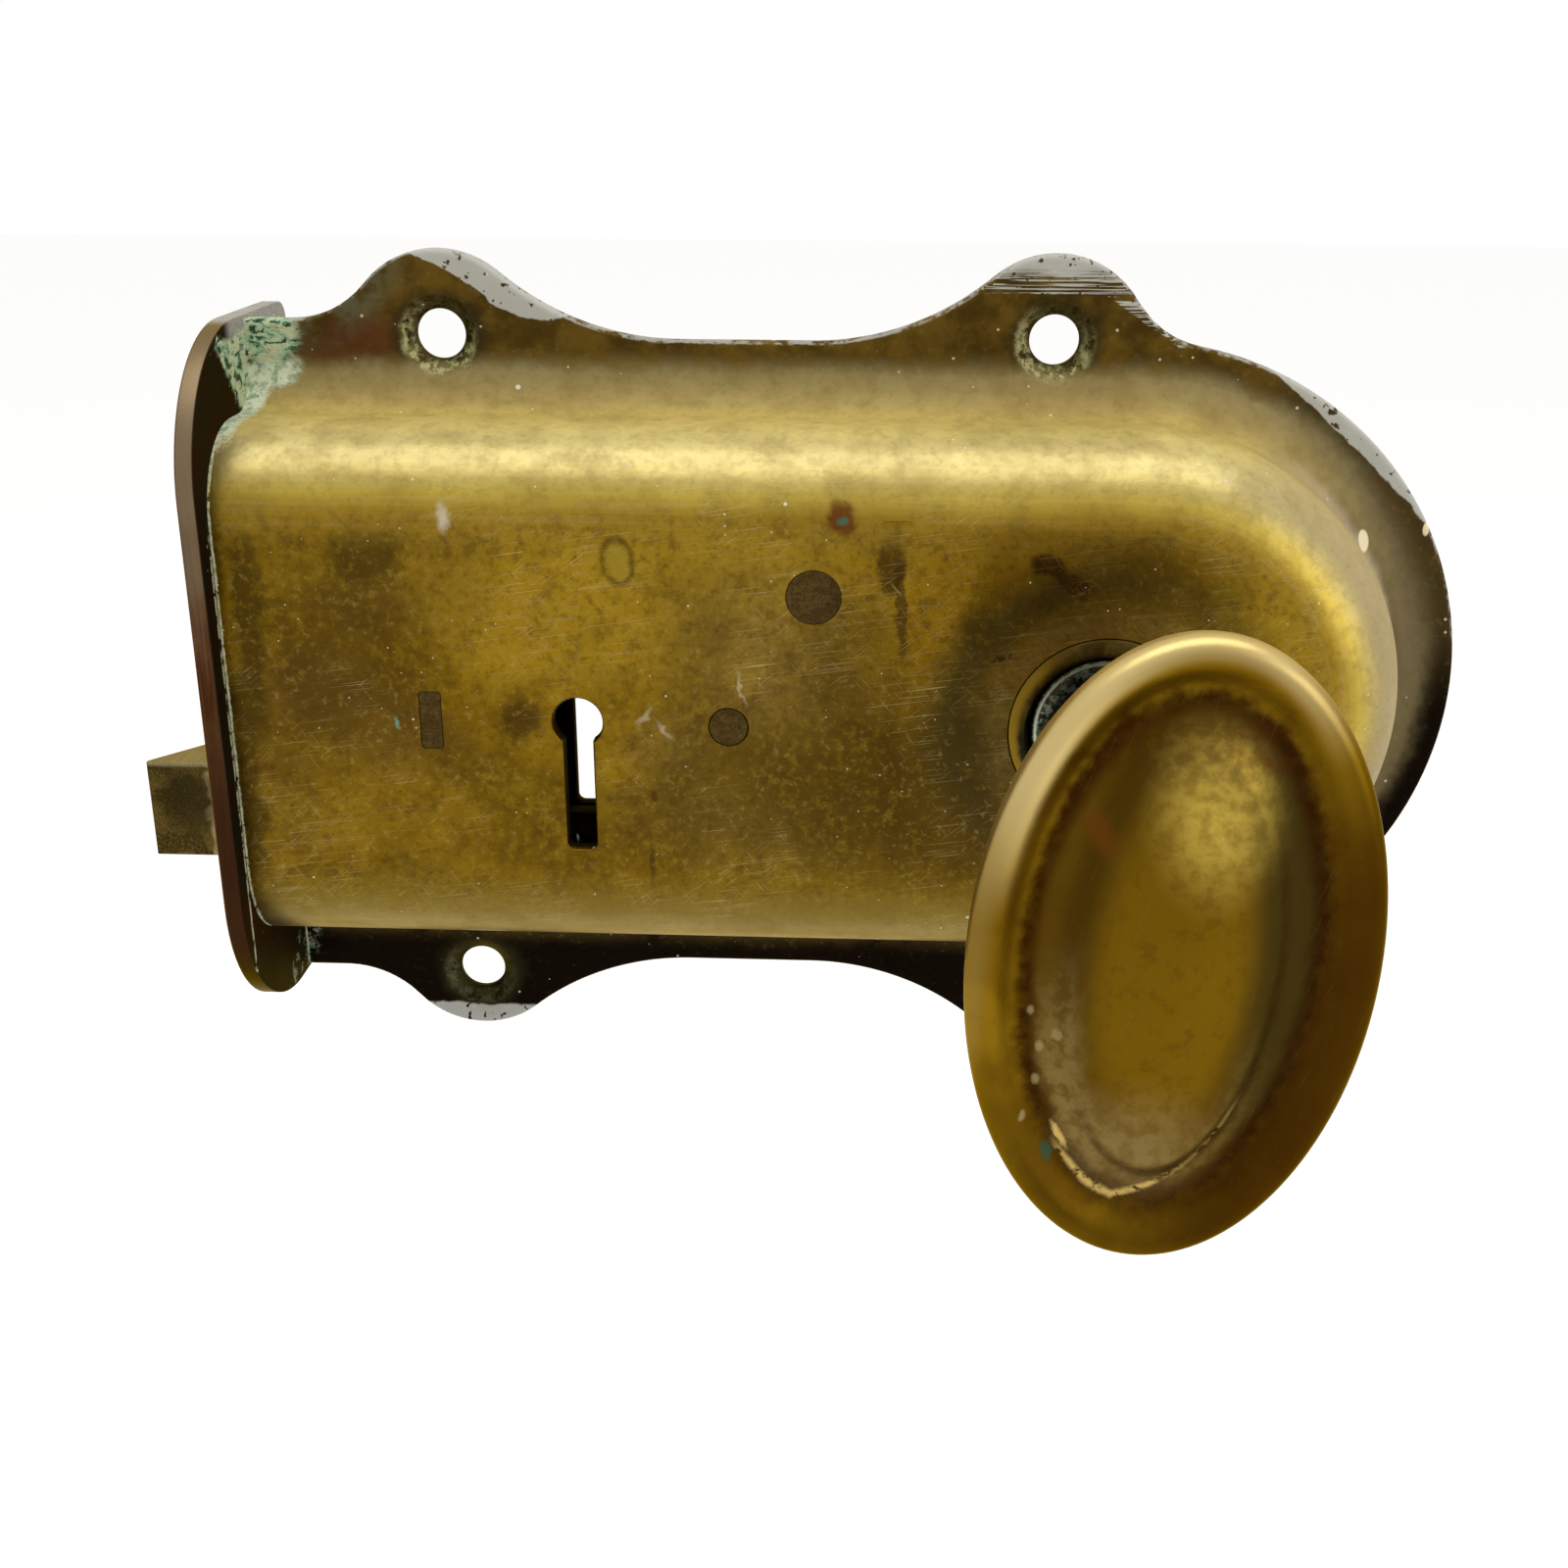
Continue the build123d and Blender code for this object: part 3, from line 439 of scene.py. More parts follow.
# %% Case places
class CaseFinish(Finish):
    """The case's finish, with the places and the clouds that its steps share."""

    def __init__(self):
        super().__init__("case_brass")
        self.past = self.maths("MAXIMUM", self.x - ROUND_X, 0.0)
        self.rise = self.z - RISE
        self.out = self.maths("SQRT", self.past * self.past + self.rise * self.rise)
        self.slide = self.out + self.y
        self.edge = self.add("ShaderNodeAttribute", {"attribute_name": "edge_gap"}, None, "Fac")
        self.ragged, self.torn = self.warped(3.6, 2.4), self.warped(1.6, 1.0, 7.0)
        self.coarse, self.middle = self.cloud(15.0, 2.0, warp=0.5), self.cloud(4.5, 3.0, 0.6, shift=11.0)
        self.fine, self.crusty = self.cloud(0.9, 3.0, 0.65, shift=5.0), self.cloud(1.5, 3.0, 0.7, shift=60.0)
        self.upper = self.fade(self.rise + self.past * 0.6, -16.0, 14.0)
        self.front = self.fade(self.out, 25.5, 21.5)
        self.flange = self.fade(self.slide + self.middle * 3.4, 36.6, 40.0)
        wall = self.fade(self.slide, 7.0, 14.0) * self.fade(self.slide, 32.0, 28.0)
        self.dulled = self.fade(self.past, 6.0, 26.0) * wall * self.upper
        self.far_root = self.fade(self.past, 14.0, 36.0) * self.fade(self.out + self.middle * 2.0, 34.0, 35.6)


def paint_mask(f):
    """Where old grey paint clings: along the flange's edge in places, and over the ears' crests."""
    wander = f.cloud(3.0, 3.0, 0.65, shift=20.0) * 2.4 - 1.2
    edge = f.edge + wander * 0.45
    top = f.fade(f.z, 5.0, 8.0)
    clings = []
    for middle, half, width in ((-31.0, 9.5, 3.1), (73.6, 10.5, 2.0)):
        share = (f.x - middle) / half
        clings.append(f.fade(edge - (1 - share * share) * width, 0.10, -0.10) * top)
    low_edge = f.maths("MAXIMUM", f.x - 43.0, 0.0) * -0.68 + 48.4
    crest = f.fade(f.z + wander * 0.4 - low_edge, -0.1, 0.15) * f.band(f.x, 39.0, 27.0, 0.05)
    scrapes = f.streaks(f.at, 7.0, 0.2, 0.46, 0.50, 31.0) * f.fade(f.z + wander * 0.6, 51.6, 50.0)
    below = f.fade(f.z + wander * 0.5, -47.6, -48.0) * f.band(f.x, -35.5, 20.0, 0.1)
    chips = f.fade(f.cloud(1.1, 2.0, 0.6, shift=51.0), 0.38, 0.35)
    line = f.fade(edge, 0.40, 0.25) * top * f.fade(wander, -0.2, 0.1)
    whole = f.most(*clings, crest * (1 - scrapes), below) * (1 - chips)
    return f.most(whole, line * 0.7) * f.fade(f.out, 38.6, 39.0)


def crust_masks(f):
    """Where damp has left green crust, where cream, and where rings round the screw holes."""
    clumps = f.fade(f.crusty, 0.30, 0.36)
    corner = f.spot((-58.6, 42.4), (4.2, 3.2), 10, 0.25, f.torn) * clumps
    lobe = f.spot((-58.2, 38.2), (3.8, 1.9), 12, 0.25, f.torn) * clumps
    spill = f.most(f.spot((-60.2, 35.4), (1.5, 3.6), -16, 0.4, f.torn) * clumps, lobe)
    seam = f.fade(f.x - LEFT_X - f.crusty * 0.5, 0.08, -0.08) * f.fade(f.crusty, 0.36, 0.42)
    low_corner = f.spot((-60.8, -37.0), (1.6, 3.4), 0, 0.5, f.torn) * f.fade(f.crusty, 0.50, 0.58)
    holes = []
    for x, z in SCREWS:
        low_left = f.fade((f.x - x) * 0.4 + (f.z - z), 4.5, -2.5, 0.15, 1.0)
        holes.append(f.band(f.on_front((x, z)) + f.crusty * 1.6 - 0.8, 4.1, 1.4, 0.7) * low_left)
    rings = f.most(*holes) * f.fade(f.rise, -30.0, 0.0, 0.15, 0.8) * f.fade(f.crusty, 0.36, 0.50)
    return f.most(corner, low_corner * 0.5), f.most(spill, seam * 0.85), rings


def crust_tone(f, crusty):
    """Green crust is marbled: nearly black in its cracks, then deep green, mint and cream."""
    drawn = f.vector("MULTIPLY", f.warped(4.0, 1.6, 13.0), (0.45, 0.7, 1.0))
    marble = f.cloud(1.1, 3.0, 0.62, at=drawn, shift=70.0, warp=0.8) * 0.75 + crusty * 0.25
    return f.ramp(marble, 0.30, 0.70, crust_tones)


# %% [markdown]
# Each step of the painting has a function of its own, in the order in which the layers lie: the front with
# its stains, the shoulder, the flange, the grime and the painted shade of the underside over all of them,
# and the small marks that catch the eye.


# %% Case brass
def front_tones(f):
    """Clouds of olive and gold, the stains where they lie, and round the hub a painted shadow and reflection of
    the knob with a lighter band by the bush.
    """
    f.colour = f.mix(f.fade(f.coarse, 0.36, 0.64), OLIVE, GOLD)
    f.lay(f.fade(f.middle, 0.46, 0.74) * 0.28, UMBER)
    f.lay_spots(golds, (0.31, 0.195, 0.014), 0.8, f.ragged, f.front)
    f.lay_spots(greys, (0.120, 0.086, 0.028), 0.8, f.ragged, f.front)
    f.lay_spots(violets, VIOLET, 0.6, f.ragged, f.front)
    f.lay_spots(stains_and_knob_shade, UMBER, 0.5, f.ragged, f.front)
    # Round the hub: a painted shadow and reflection of the knob, dark in a ring and darkest in an arc on its
    # left, and a lighter band next to the bush.
    ring = f.on_front((SPINDLE_X, 0.3)) + f.middle * 5.0 - 2.5
    f.lay(f.fade(ring, 23.0, 15.0) * f.front * 0.22, (0.080, 0.052, 0.008))
    arc = f.band(ring, 17.8, 6.0, 0.9) * f.fade(f.x - SPINDLE_X, 16.0, -12.0, 0.55, 1.0)
    f.lay(arc * f.front * 0.75, (0.036, 0.029, 0.009))
    f.lay(f.band(ring, 12.6, 3.6, 0.9) * f.front * 0.5, (0.145, 0.100, 0.030))
    f.lay_spots(smears, (0.042, 0.018, 0.004), 0.3, f.torn)
    f.lay(f.fade(f.rise, 4.0, -16.0) * 0.28, (0.080, 0.046, 0.005))


def shoulder_tone(f):
    """The tones of the shoulder and the wall, with a painted highlight above and painted shade below, patchy,
    brushed along, and dulled round the far end, where a pale line by the root is a painted reflection.
    """
    around = f.maths("ARCTAN2", f.past, f.rise) * 40.0 + f.x - f.past
    brushed = f.streaks(f.xyz(around, f.out, f.y), 24.0, 0.6, 0.38, 0.72)
    # The upper shoulder carries a painted highlight, and the lower shoulder painted shade.
    below, above = [f.ramp(f.slide, -2.0, 38.0, tones) for tones in (shaded_lower_tones, lit_upper_tones)]
    # A pale line by the root round the far end, which is a painted reflection.
    haze = f.band(f.slide + f.middle * 2.0, 29.5, 3.4, 0.9) * f.fade(f.past, 14.0, 30.0)
    return f.laid(
        f.mix(f.upper, below, above),
        (f.fade(f.middle, 0.42, 0.66) * 0.26, (0.16, 0.10, 0.018)),
        (f.fade(f.coarse, 0.56, 0.40) * 0.16, (0.15, 0.095, 0.018)),
        (f.fade(f.crusty, 0.48, 0.62) * f.upper * 0.16, (0.14, 0.09, 0.02)),
        (f.fade(f.out, 34.0, 30.0) * f.upper * brushed * 0.08, (0.58, 0.48, 0.22)),
        (f.dulled * 0.75, (0.35, 0.27, 0.135)),
        (haze * f.upper * 0.55, (0.42, 0.36, 0.26)),
        (f.far_root * 0.8, (0.080, 0.060, 0.030)),
    )


def flange_tone(f):
    """Brown, greyer round the far end, and nearly black on the underside, which is dark patina and painted shade.
    """
    return f.laid(
        f.mix(f.fade(f.middle, 0.36, 0.66), (0.055, 0.031, 0.005), (0.115, 0.068, 0.010)),
        (f.fade(f.past, 8.0, 26.0) * 0.7, (0.040, 0.029, 0.012)),
        # The underside: dark patina and painted shade.
        (f.fade(f.rise - f.past * 0.25, 2.0, -16.0), (0.006, 0.004, 0.002)),
    )


def grime(f):
    """A red stain and a green haze at the top left, grain and mottling, and painted shade on the underside."""
    stain = f.spot((-47.5, 41.5), (6.5, 3.2), 10, 0.5, f.ragged)
    f.lay(stain * f.flange * 0.7, (0.085, 0.026, 0.010))
    haze = f.fade(f.edge, 5.0, 0.5) * f.band(f.x, -49.5, 15.0, 0.4) * f.fade(f.middle, 0.40, 0.58)
    f.lay(haze * f.fade(f.z, 36.0, 40.0) * 0.6, (0.085, 0.098, 0.065))
    grainy = f.fade(f.slide, 6.0, -1.0, 0.35, 1.0)
    f.lay(f.fade(f.fine, 0.50, 0.70) * grainy * 0.36, UMBER)
    f.lay(f.fade(f.fine, 0.44, 0.28) * grainy * 0.26, (0.36, 0.26, 0.07))
    f.lay(f.fade(f.crusty + f.middle * 0.6, 0.80, 0.98) * f.front * 0.36, (0.075, 0.038, 0.005))
    f.lay(f.fade(f.crusty + f.coarse * 0.6, 0.74, 0.56) * f.front * 0.22, (0.31, 0.20, 0.014))
    # Painted shade on the underside of the flange.
    f.lay(f.flange * f.fade(f.rise - f.past * 0.25, -2.0, -18.0) * 0.85, (0.005, 0.003, 0.002))


def small_marks(f):
    """A bruise with a raised middle, a rust spot with a green heart, pale ticks and hair scratches."""
    inner = f.spot((-13.5, 20.0), (1.32, 2.17), 8, 0.3, f.torn)
    rim = f.spot((-13.5, 20.0), (2.0, 3.1), 8, 0.16) * (1 - inner)
    f.lay(rim * 0.65, (0.060, 0.030, 0.005))
    f.lay(inner * 0.6, (0.26, 0.185, 0.020))
    f.height = f.height - rim * 0.10
    f.lay(f.spot((12.6, 25.2), (1.5, 1.9), 15, 0.4, f.torn) * 0.85, RUST)
    f.lay(f.spot((12.7, 25.1), (0.6, 0.7), 0, 0.5, f.torn) * 0.8, (0.06, 0.13, 0.08))
    f.lay_spots(ticks, (0.60, 0.54, 0.40), 0.7, f.torn)
    f.lay(f.spot((-40.7, -0.4), (0.25, 0.6), 5, 0.7, f.torn) * 0.7, VERDIGRIS)
    level, steep = f.hairs(8, 9.0, 0.10, 1.0), f.hairs(38, 5.0, 0.09, 5.0, 0.67)
    hairs = f.most(level, steep, f.hairs(-52, 4.0, 0.08, 9.0, 0.68))
    hairs = hairs * f.fade(f.coarse, 0.44, 0.62) * f.fade(f.out, 34.0, 26.0)
    f.lay(hairs * 0.45, (0.50, 0.41, 0.19))


def cover(f):
    """What lies on the metal: paint, dirt, crust, white specks and two chips. Gives where it isn't metal."""
    paint, (green, cream, rings) = paint_mask(f), crust_masks(f)
    f.lay(paint, f.mix(f.fade(f.middle, 0.4, 0.7) * 0.4, PAINT, (0.47, 0.47, 0.43)))
    dirt = f.most(*[f.fade(f.on_front(place) + f.middle * 3.0, 8.4, 5.6) for place in SCREWS])
    f.lay(dirt * f.flange * (1 - paint) * 0.8, (0.022, 0.019, 0.007))
    f.lay(rings, f.mix(f.fade(f.fine, 0.42, 0.60), (0.17, 0.15, 0.045), (0.47, 0.45, 0.22)))
    f.lay(cream, f.mix(f.fade(f.fine, 0.36, 0.56), (0.27, 0.36, 0.23), (0.60, 0.65, 0.48)))
    f.lay(green, crust_tone(f, f.crusty))
    white = f.most(f.specks(0.25, 2.8, 0.22), f.specks(0.15, 1.3, 0.18, 40.0) * 0.75)
    f.lay(white * 0.85, (0.70, 0.64, 0.48))
    chips = f.most(f.spot((75.8, 19.6), (0.75, 1.25), 10, 0.15), f.spot((83.7, 20.7), (0.4, 0.8), 0, 0.2))
    f.lay(chips, (0.72, 0.62, 0.40))
    crust = f.most(green, cream, rings)
    soft = f.most(paint, crust, white, chips)
    f.height = f.height + soft * 0.05 + crust * f.crusty * 0.2
    return soft


def case_brass():
    """The whole finish of the case. Residue dulls the upper wall, and the inside of the case is painted black as
    shade.
    """
    f = CaseFinish()
    front_tones(f)
    f.lay(f.fade(f.out + f.middle * 2.0, 20.0, 25.5), shoulder_tone(f))
    f.lay(f.flange, flange_tone(f))
    grime(f)
    f.height = f.fine * 0.016 + f.middle * 0.05
    small_marks(f)
    # The inside of the hollow case, painted nearly black as painted shade.
    deep, wide = f.maths("MAXIMUM", f.y * -1.0 - 10.0, 0.0), f.maths("MAXIMUM", f.out - 21.9, 0.0)
    inside = f.fade(f.maths("SQRT", deep * deep + wide * wide), 10.5, 10.0)
    f.lay(inside * 0.92, BLACK)
    soft = cover(f)
    residue = f.fade(f.slide, 13.5, 19.0) * f.fade(f.slide, 36.0, 35.0) * f.upper * (1 - f.far_root * 0.5)
    residue = f.most(residue * 0.85, f.dulled * 0.8)
    f.rough = f.middle * 0.22 + f.crusty * 0.16 + 0.19 + f.flange * 0.12 + residue * 0.25
    f.rough = f.rough + soft * 0.35 + inside * 0.4
    f.shine = (1 - soft) * (1 - residue)
    return f.finish()


case_finish = case_brass()
print("case brass has", len(case_finish.node_tree.nodes), "nodes")

# %% [markdown]
# ## Plainer brasses and steels
#
# The other pieces are of the same metals with less history. One function makes them: two tones in clouds,
# a third in smaller patches, a grain that runs along one axis, specks, and a roughness. Most of them then
# get their own marks on top: the forend is tan towards its top, with painted shade on its inner face and low
# down, the latch bolt is rubbed bright by its keep, the gap round the follower holds painted shade, and what
# the keyhole shows of the levers and the dead bolt is painted black as shade.


# %% Plain metals
KEYWAY = (-19.0, -6.5)


def metal(name, tones, patch=7.0, grain=(9.0, 0.3), grain_share=0.35, rough=0.36, marks=None, axis="x"):
    """A worn metal of three tones. The marks, where there are some, are laid on before the specks."""
    f = Finish(name)
    clouds, fine = f.cloud(patch, 3.0, warp=0.4), f.cloud(0.8, 3.0, 0.65)
    f.colour = f.mix(f.fade(clouds, 0.38, 0.64), tones[0], tones[1])
    f.lay(f.fade(fine, 0.46, 0.68) * 0.45, tones[0])
    order = {"x": (f.x, f.y, f.z), "y": (f.y, f.x, f.z), "z": (f.z, f.x, f.y)}[axis]
    lines = f.streaks(f.xyz(*order), grain[0], grain[1], 0.42, 0.74)
    f.lay(lines * grain_share, tones[2])
    f.height = fine * 0.014 - lines * 0.006
    f.rough = clouds * 0.20 + (rough - 0.1)
    if marks:
        marks(f)
    f.lay(f.specks(0.16, 2.2, 0.22) * 0.6, (0.6, 0.54, 0.40))
    return f.finish()


def forend_marks(f):
    """Tan towards the top and dark red-brown lower down, painted shade on the inner face and at the bottom, and a
    pale scratched lip that is partly a painted reflection.
    """
    worn, crusty = f.cloud(9.0, 3.0, shift=33.0), f.cloud(1.5, 3.0, 0.7, shift=60.0)
    # The front edge is tan towards the top and dark red-brown lower down.
    edge = f.band(f.x, -62.2, 1.9, 0.12)
    f.lay(f.fade(f.z + worn * 16.0, 12.0, 40.0) * edge * 0.9, (0.19, 0.142, 0.082))
    f.lay(f.fade(f.z + worn * 10.0, 22.0, -10.0) * edge * 0.9, (0.030, 0.012, 0.005))
    # Painted shade on the inner face, which faces the case.
    inner = f.fade(f.x, -61.35, -61.12)
    f.lay(inner * 0.94, f.mix(f.fade(worn, 0.4, 0.6), (0.020, 0.009, 0.004), (0.012, 0.013, 0.007)))
    # Painted shade towards the bottom.
    f.lay(f.fade(f.z, -29.0, -37.0) * 0.75, (0.014, 0.012, 0.005))
    # A pale lip at the top back corner, partly a painted reflection, with real scratches.
    lip = f.fade(f.y, -9.5, -6.5) * f.fade(f.z, 36.0, 41.0)
    f.lay(lip * 0.9, (0.36, 0.35, 0.32))
    f.lay(lip * f.streaks(f.at, 4.0, 0.25, 0.60, 0.66, 3.0) * 0.8, (0.12, 0.08, 0.05))
    _, depth, up = f.parts(f.warped(2.0, 2.0, 7.0))
    corner = f.fade(depth + (up - 40.0) * 0.8, -11.0, -9.5) * f.fade(up, 33.5, 35.0) * f.fade(up, 43.6, 42.8)
    low = f.fade(depth - (up + 36.0) * 0.8, -6.0, -4.5) * f.fade(up, -34.0, -35.5)
    crust = f.most(corner, low * f.fade(crusty, 0.52, 0.60) * 0.5) * inner * f.fade(crusty, 0.30, 0.36)
    thread = f.band(f.y, -21.4, 0.5, 0.5) * f.fade(crusty, 0.44, 0.52) * f.fade(f.z, 24.0, 20.0) * inner
    f.lay(crust, crust_tone(f, crusty))
    f.lay(thread * 0.8, CREAM)
    dull = f.most(crust, thread, lip * 0.6)
    f.rough = f.rough + f.most(dull, inner) * 0.3
    f.shine = 1 - dull
    f.height = f.height + crust * crusty * 0.2


def keyway_shade(f):
    """Painted shade, nearly black, on whatever the keyhole shows inside the case."""
    # Painted shade round the keyhole.
    dirt = f.fade(f.on_front(KEYWAY), 15.0, 11.0)
    f.lay(dirt * 0.96, BLACK)
    f.rough = f.rough + dirt * 0.6


def bolt_marks(f):
    """Bright where the keep rubs it, and dark and mottled in the middle of the face."""
    ragged, patches = f.parts(f.warped(2.2, 1.8, 3.0))[0], f.cloud(1.4, 3.0, shift=4.0)
    rubbed = f.fade(ragged, -67.4, -66.6) * f.fade(f.y, -15.0, -15.9)
    f.lay(rubbed * f.fade(patches, 0.7, 0.4, 0.5, 1.0), (0.25, 0.19, 0.085))
    f.lay(f.spot((-69.4, -13.0), (3.2, 4.2), 20, 0.4, f.warped(1.6, 1.2)) * 0.7, (0.022, 0.016, 0.005))
    top = f.fade(f.z, -8.7, -8.1) * f.fade(f.x, -62.8, -63.6)
    f.lay(top * 0.9, (0.20, 0.165, 0.075))
    lines = f.streaks(f.xyz(f.y, f.x, f.z), 6.0, 0.16, 0.45, 0.6, 8.0)
    f.lay(top * lines * 0.5, (0.34, 0.27, 0.13))
    # Painted shade where the keyhole shows the bolt.
    keyway_shade(f)
    f.height = f.height - lines * top * 0.01


def follower_marks(f):
    """A pale edge that is partly wear and partly a painted highlight, pale flecks, black grease towards the
    square, and painted shade in the gap.
    """
    away = f.on_front((SPINDLE_X, 0.0))
    face = f.fade(f.y, -19.9, -20.3)
    # A pale edge, partly wear and partly a painted highlight.
    f.lay(face * f.band(away, 8.3, 0.3, 0.6), (0.50, 0.56, 0.46))
    flecks = f.fade(f.cloud(0.9, 3.0, 0.6, shift=5.0), 0.50, 0.58) * f.band(away, 7.3, 2.4, 0.6)
    f.lay(face * flecks * 0.45, (0.50, 0.56, 0.46))
    grease = f.fade(f.cloud(2.5, shift=2.0), 0.45, 0.6) * f.fade(away, 7.2, 5.4)
    # Black grease towards the square, and painted shade in the gap at the edge.
    f.lay(f.most(grease * 0.8, f.fade(away, 8.7, 8.95)), BLACK)


def bush_marks(f):
    """Painted shade in the gap, a black crescent thickest at the top, a painted highlight on the left of the
    edge, and a dark patch low on the left.
    """
    away = f.on_front((SPINDLE_X, -0.45))
    # Painted shade in the gap, thickest at the top.
    f.lay(f.fade(away, 9.75, 9.5) * 0.97, (0.006, 0.005, 0.004))
    left = f.fade(f.x - SPINDLE_X, -4.0, -8.5)
    # A painted highlight on the left of the bush's edge.
    f.lay(f.band(away, 11.0, 1.2, 0.7) * left * 0.8, (0.24, 0.145, 0.012))
    low_left = left * f.fade(f.z, 2.0, -1.0) * f.fade(away + f.cloud(1.2) * 1.2, 11.2, 10.6)
    f.lay(low_left * 0.9, (0.012, 0.014, 0.009))


def stump_marks(f):
    """The ends of the steel stumps are darker than the case, and pitted."""
    pitted = f.fade(f.cloud(0.35, 2.0, 0.6, shift=6.0), 0.48, 0.66)
    f.lay(pitted * 0.6, (0.024, 0.014, 0.004))
    f.height = f.height - pitted * 0.01


def plate_shade(f):
    """The side that faces into the case and the rim of the keyhole are painted nearly black as shade."""
    # Painted shade inside the case and round the keyhole.
    in_shade = f.most(f.fade(f.y, -0.1, -0.5), f.spot(KEYWAY, (4.6, 13.0), 0, 0.12))
    f.lay(in_shade * 0.96, BLACK)
    f.rough = f.rough + in_shade * 0.6


finishes = {
    "case": case_finish,
    "forend": metal(
        "forend_brass", ((0.060, 0.018, 0.006), (0.095, 0.042, 0.014), (0.16, 0.085, 0.035)),
        9.0, axis="z", rough=0.4, marks=forend_marks),
    "bolts": metal(
        "bolt_brass", ((0.035, 0.022, 0.004), (0.080, 0.054, 0.012), (0.17, 0.125, 0.04)),
        3.0, axis="y", marks=bolt_marks),
    "back_plate": metal(
        "plate_brass", ((0.17, 0.115, 0.022), (0.28, 0.20, 0.05), (0.38, 0.29, 0.10)),
        14.0, (40.0, 0.4), 0.3, marks=plate_shade),
    "bush": metal(
        "bush_brass", ((0.060, 0.040, 0.007), (0.105, 0.070, 0.014), (0.17, 0.12, 0.035)),
        2.0, grain_share=0.15, rough=0.42, marks=bush_marks),
    "stumps": metal(
        "rivet_metal", ((0.052, 0.032, 0.009), (0.084, 0.053, 0.014), (0.12, 0.082, 0.028)),
        1.2, (1.0, 0.3), 0.3, 0.5, stump_marks),
    "follower": metal(
        "follower_metal", ((0.020, 0.024, 0.013), (0.085, 0.095, 0.050), (0.24, 0.27, 0.19)),
        1.2, (2.0, 0.3), 0.2, 0.3, follower_marks),
    "spindle": metal(
        "spindle_steel", ((0.035, 0.014, 0.010), (0.075, 0.045, 0.030), (0.16, 0.13, 0.10)),
        4.0, axis="y", rough=0.42),
    "levers": metal(
        "lever_brass", ((0.20, 0.13, 0.022), (0.36, 0.26, 0.07), (0.50, 0.40, 0.15)),
        9.0, (30.0, 0.3), 0.3, 0.33, keyway_shade),
    "springs": metal(
        "spring_steel", ((0.10, 0.095, 0.085), (0.20, 0.19, 0.17), (0.33, 0.32, 0.29)),
        3.0, (3.0, 0.3), 0.3, 0.34),
    "screws": metal(
        "screw_brass", ((0.11, 0.075, 0.018), (0.23, 0.165, 0.05), (0.38, 0.30, 0.12)),
        2.0, (2.0, 0.2), 0.3),
}
print("finishes so far", sorted(finishes))

# %% [markdown]
# ## The knob's finish
#
# A knob is polished by every hand that turns it, so it is smoother and warmer than the case, and the dirt
# stays only where fingers don't reach: the groove inside the rim. Here the pattern follows the oval. The
# place is first turned into the knob's own leaning frame. Its distance from the middle is then measured
# against the half sizes of the dish, so it is 1 at the foot of the rim whatever the direction, and against
# those of the boss in the same way.

# %% Knob brass
LEAN = 3.6
HALF_WIDTH, HALF_HEIGHT, RIM_WIDTH = 18.2, 30.2, 5.0


def knob_marks(f, foot, across, tall, front, wobble, fine):
    """Cream dots and a green one in the groove, and a painted glint along its foot. Gives the dots' mask."""
    torn = f.warped(0.8, 0.3, 3.0)
    f.lay(f.spot((SPINDLE_X - 7.0, 12.4), (1.0, 1.8), 20, 0.7) * front * 0.5, (0.15, 0.040, 0.005))
    cream = [
        f.spot((SPINDLE_X + x, z), (size, size * 1.4), 0, 0.5, torn)
        for x, z, size in (
            (-12.2, -5.2, 0.3), (-11.3, -8.8, 0.34), (-11.5, -12.2, 0.36), (-12.6, -15.6, 0.3), (-9.8, -7.4, 0.4))
    ]
    cream = f.most(*cream) * front
    f.lay(cream * 0.6, (0.40, 0.31, 0.12))
    green = f.spot((SPINDLE_X - 10.2, -19.4), (0.45, 0.8), 20, 0.6, torn) * front
    f.lay(green * 0.8, (0.01, 0.07, 0.03))
    # A painted glint along the foot of the rim, low on the left, and a painted glint spot.
    low = f.fade(tall - across * 0.35, -14.5, -17.5) * f.fade(across, -10.0, -6.0) * front
    drift = f.maths("MAXIMUM", across + 2.5, 0.0) * 0.023
    glint = f.band(foot + drift + wobble * 0.4, 0.985, 0.030, 0.9) * low * f.fade(fine, 0.58, 0.48)
    glint = f.most(glint, f.spot((SPINDLE_X - 9.1, -17.9), (0.32, 1.4), 28, 0.5, torn) * front)
    f.lay(glint * 0.75, (0.68, 0.48, 0.15))
    return f.most(cream, green)


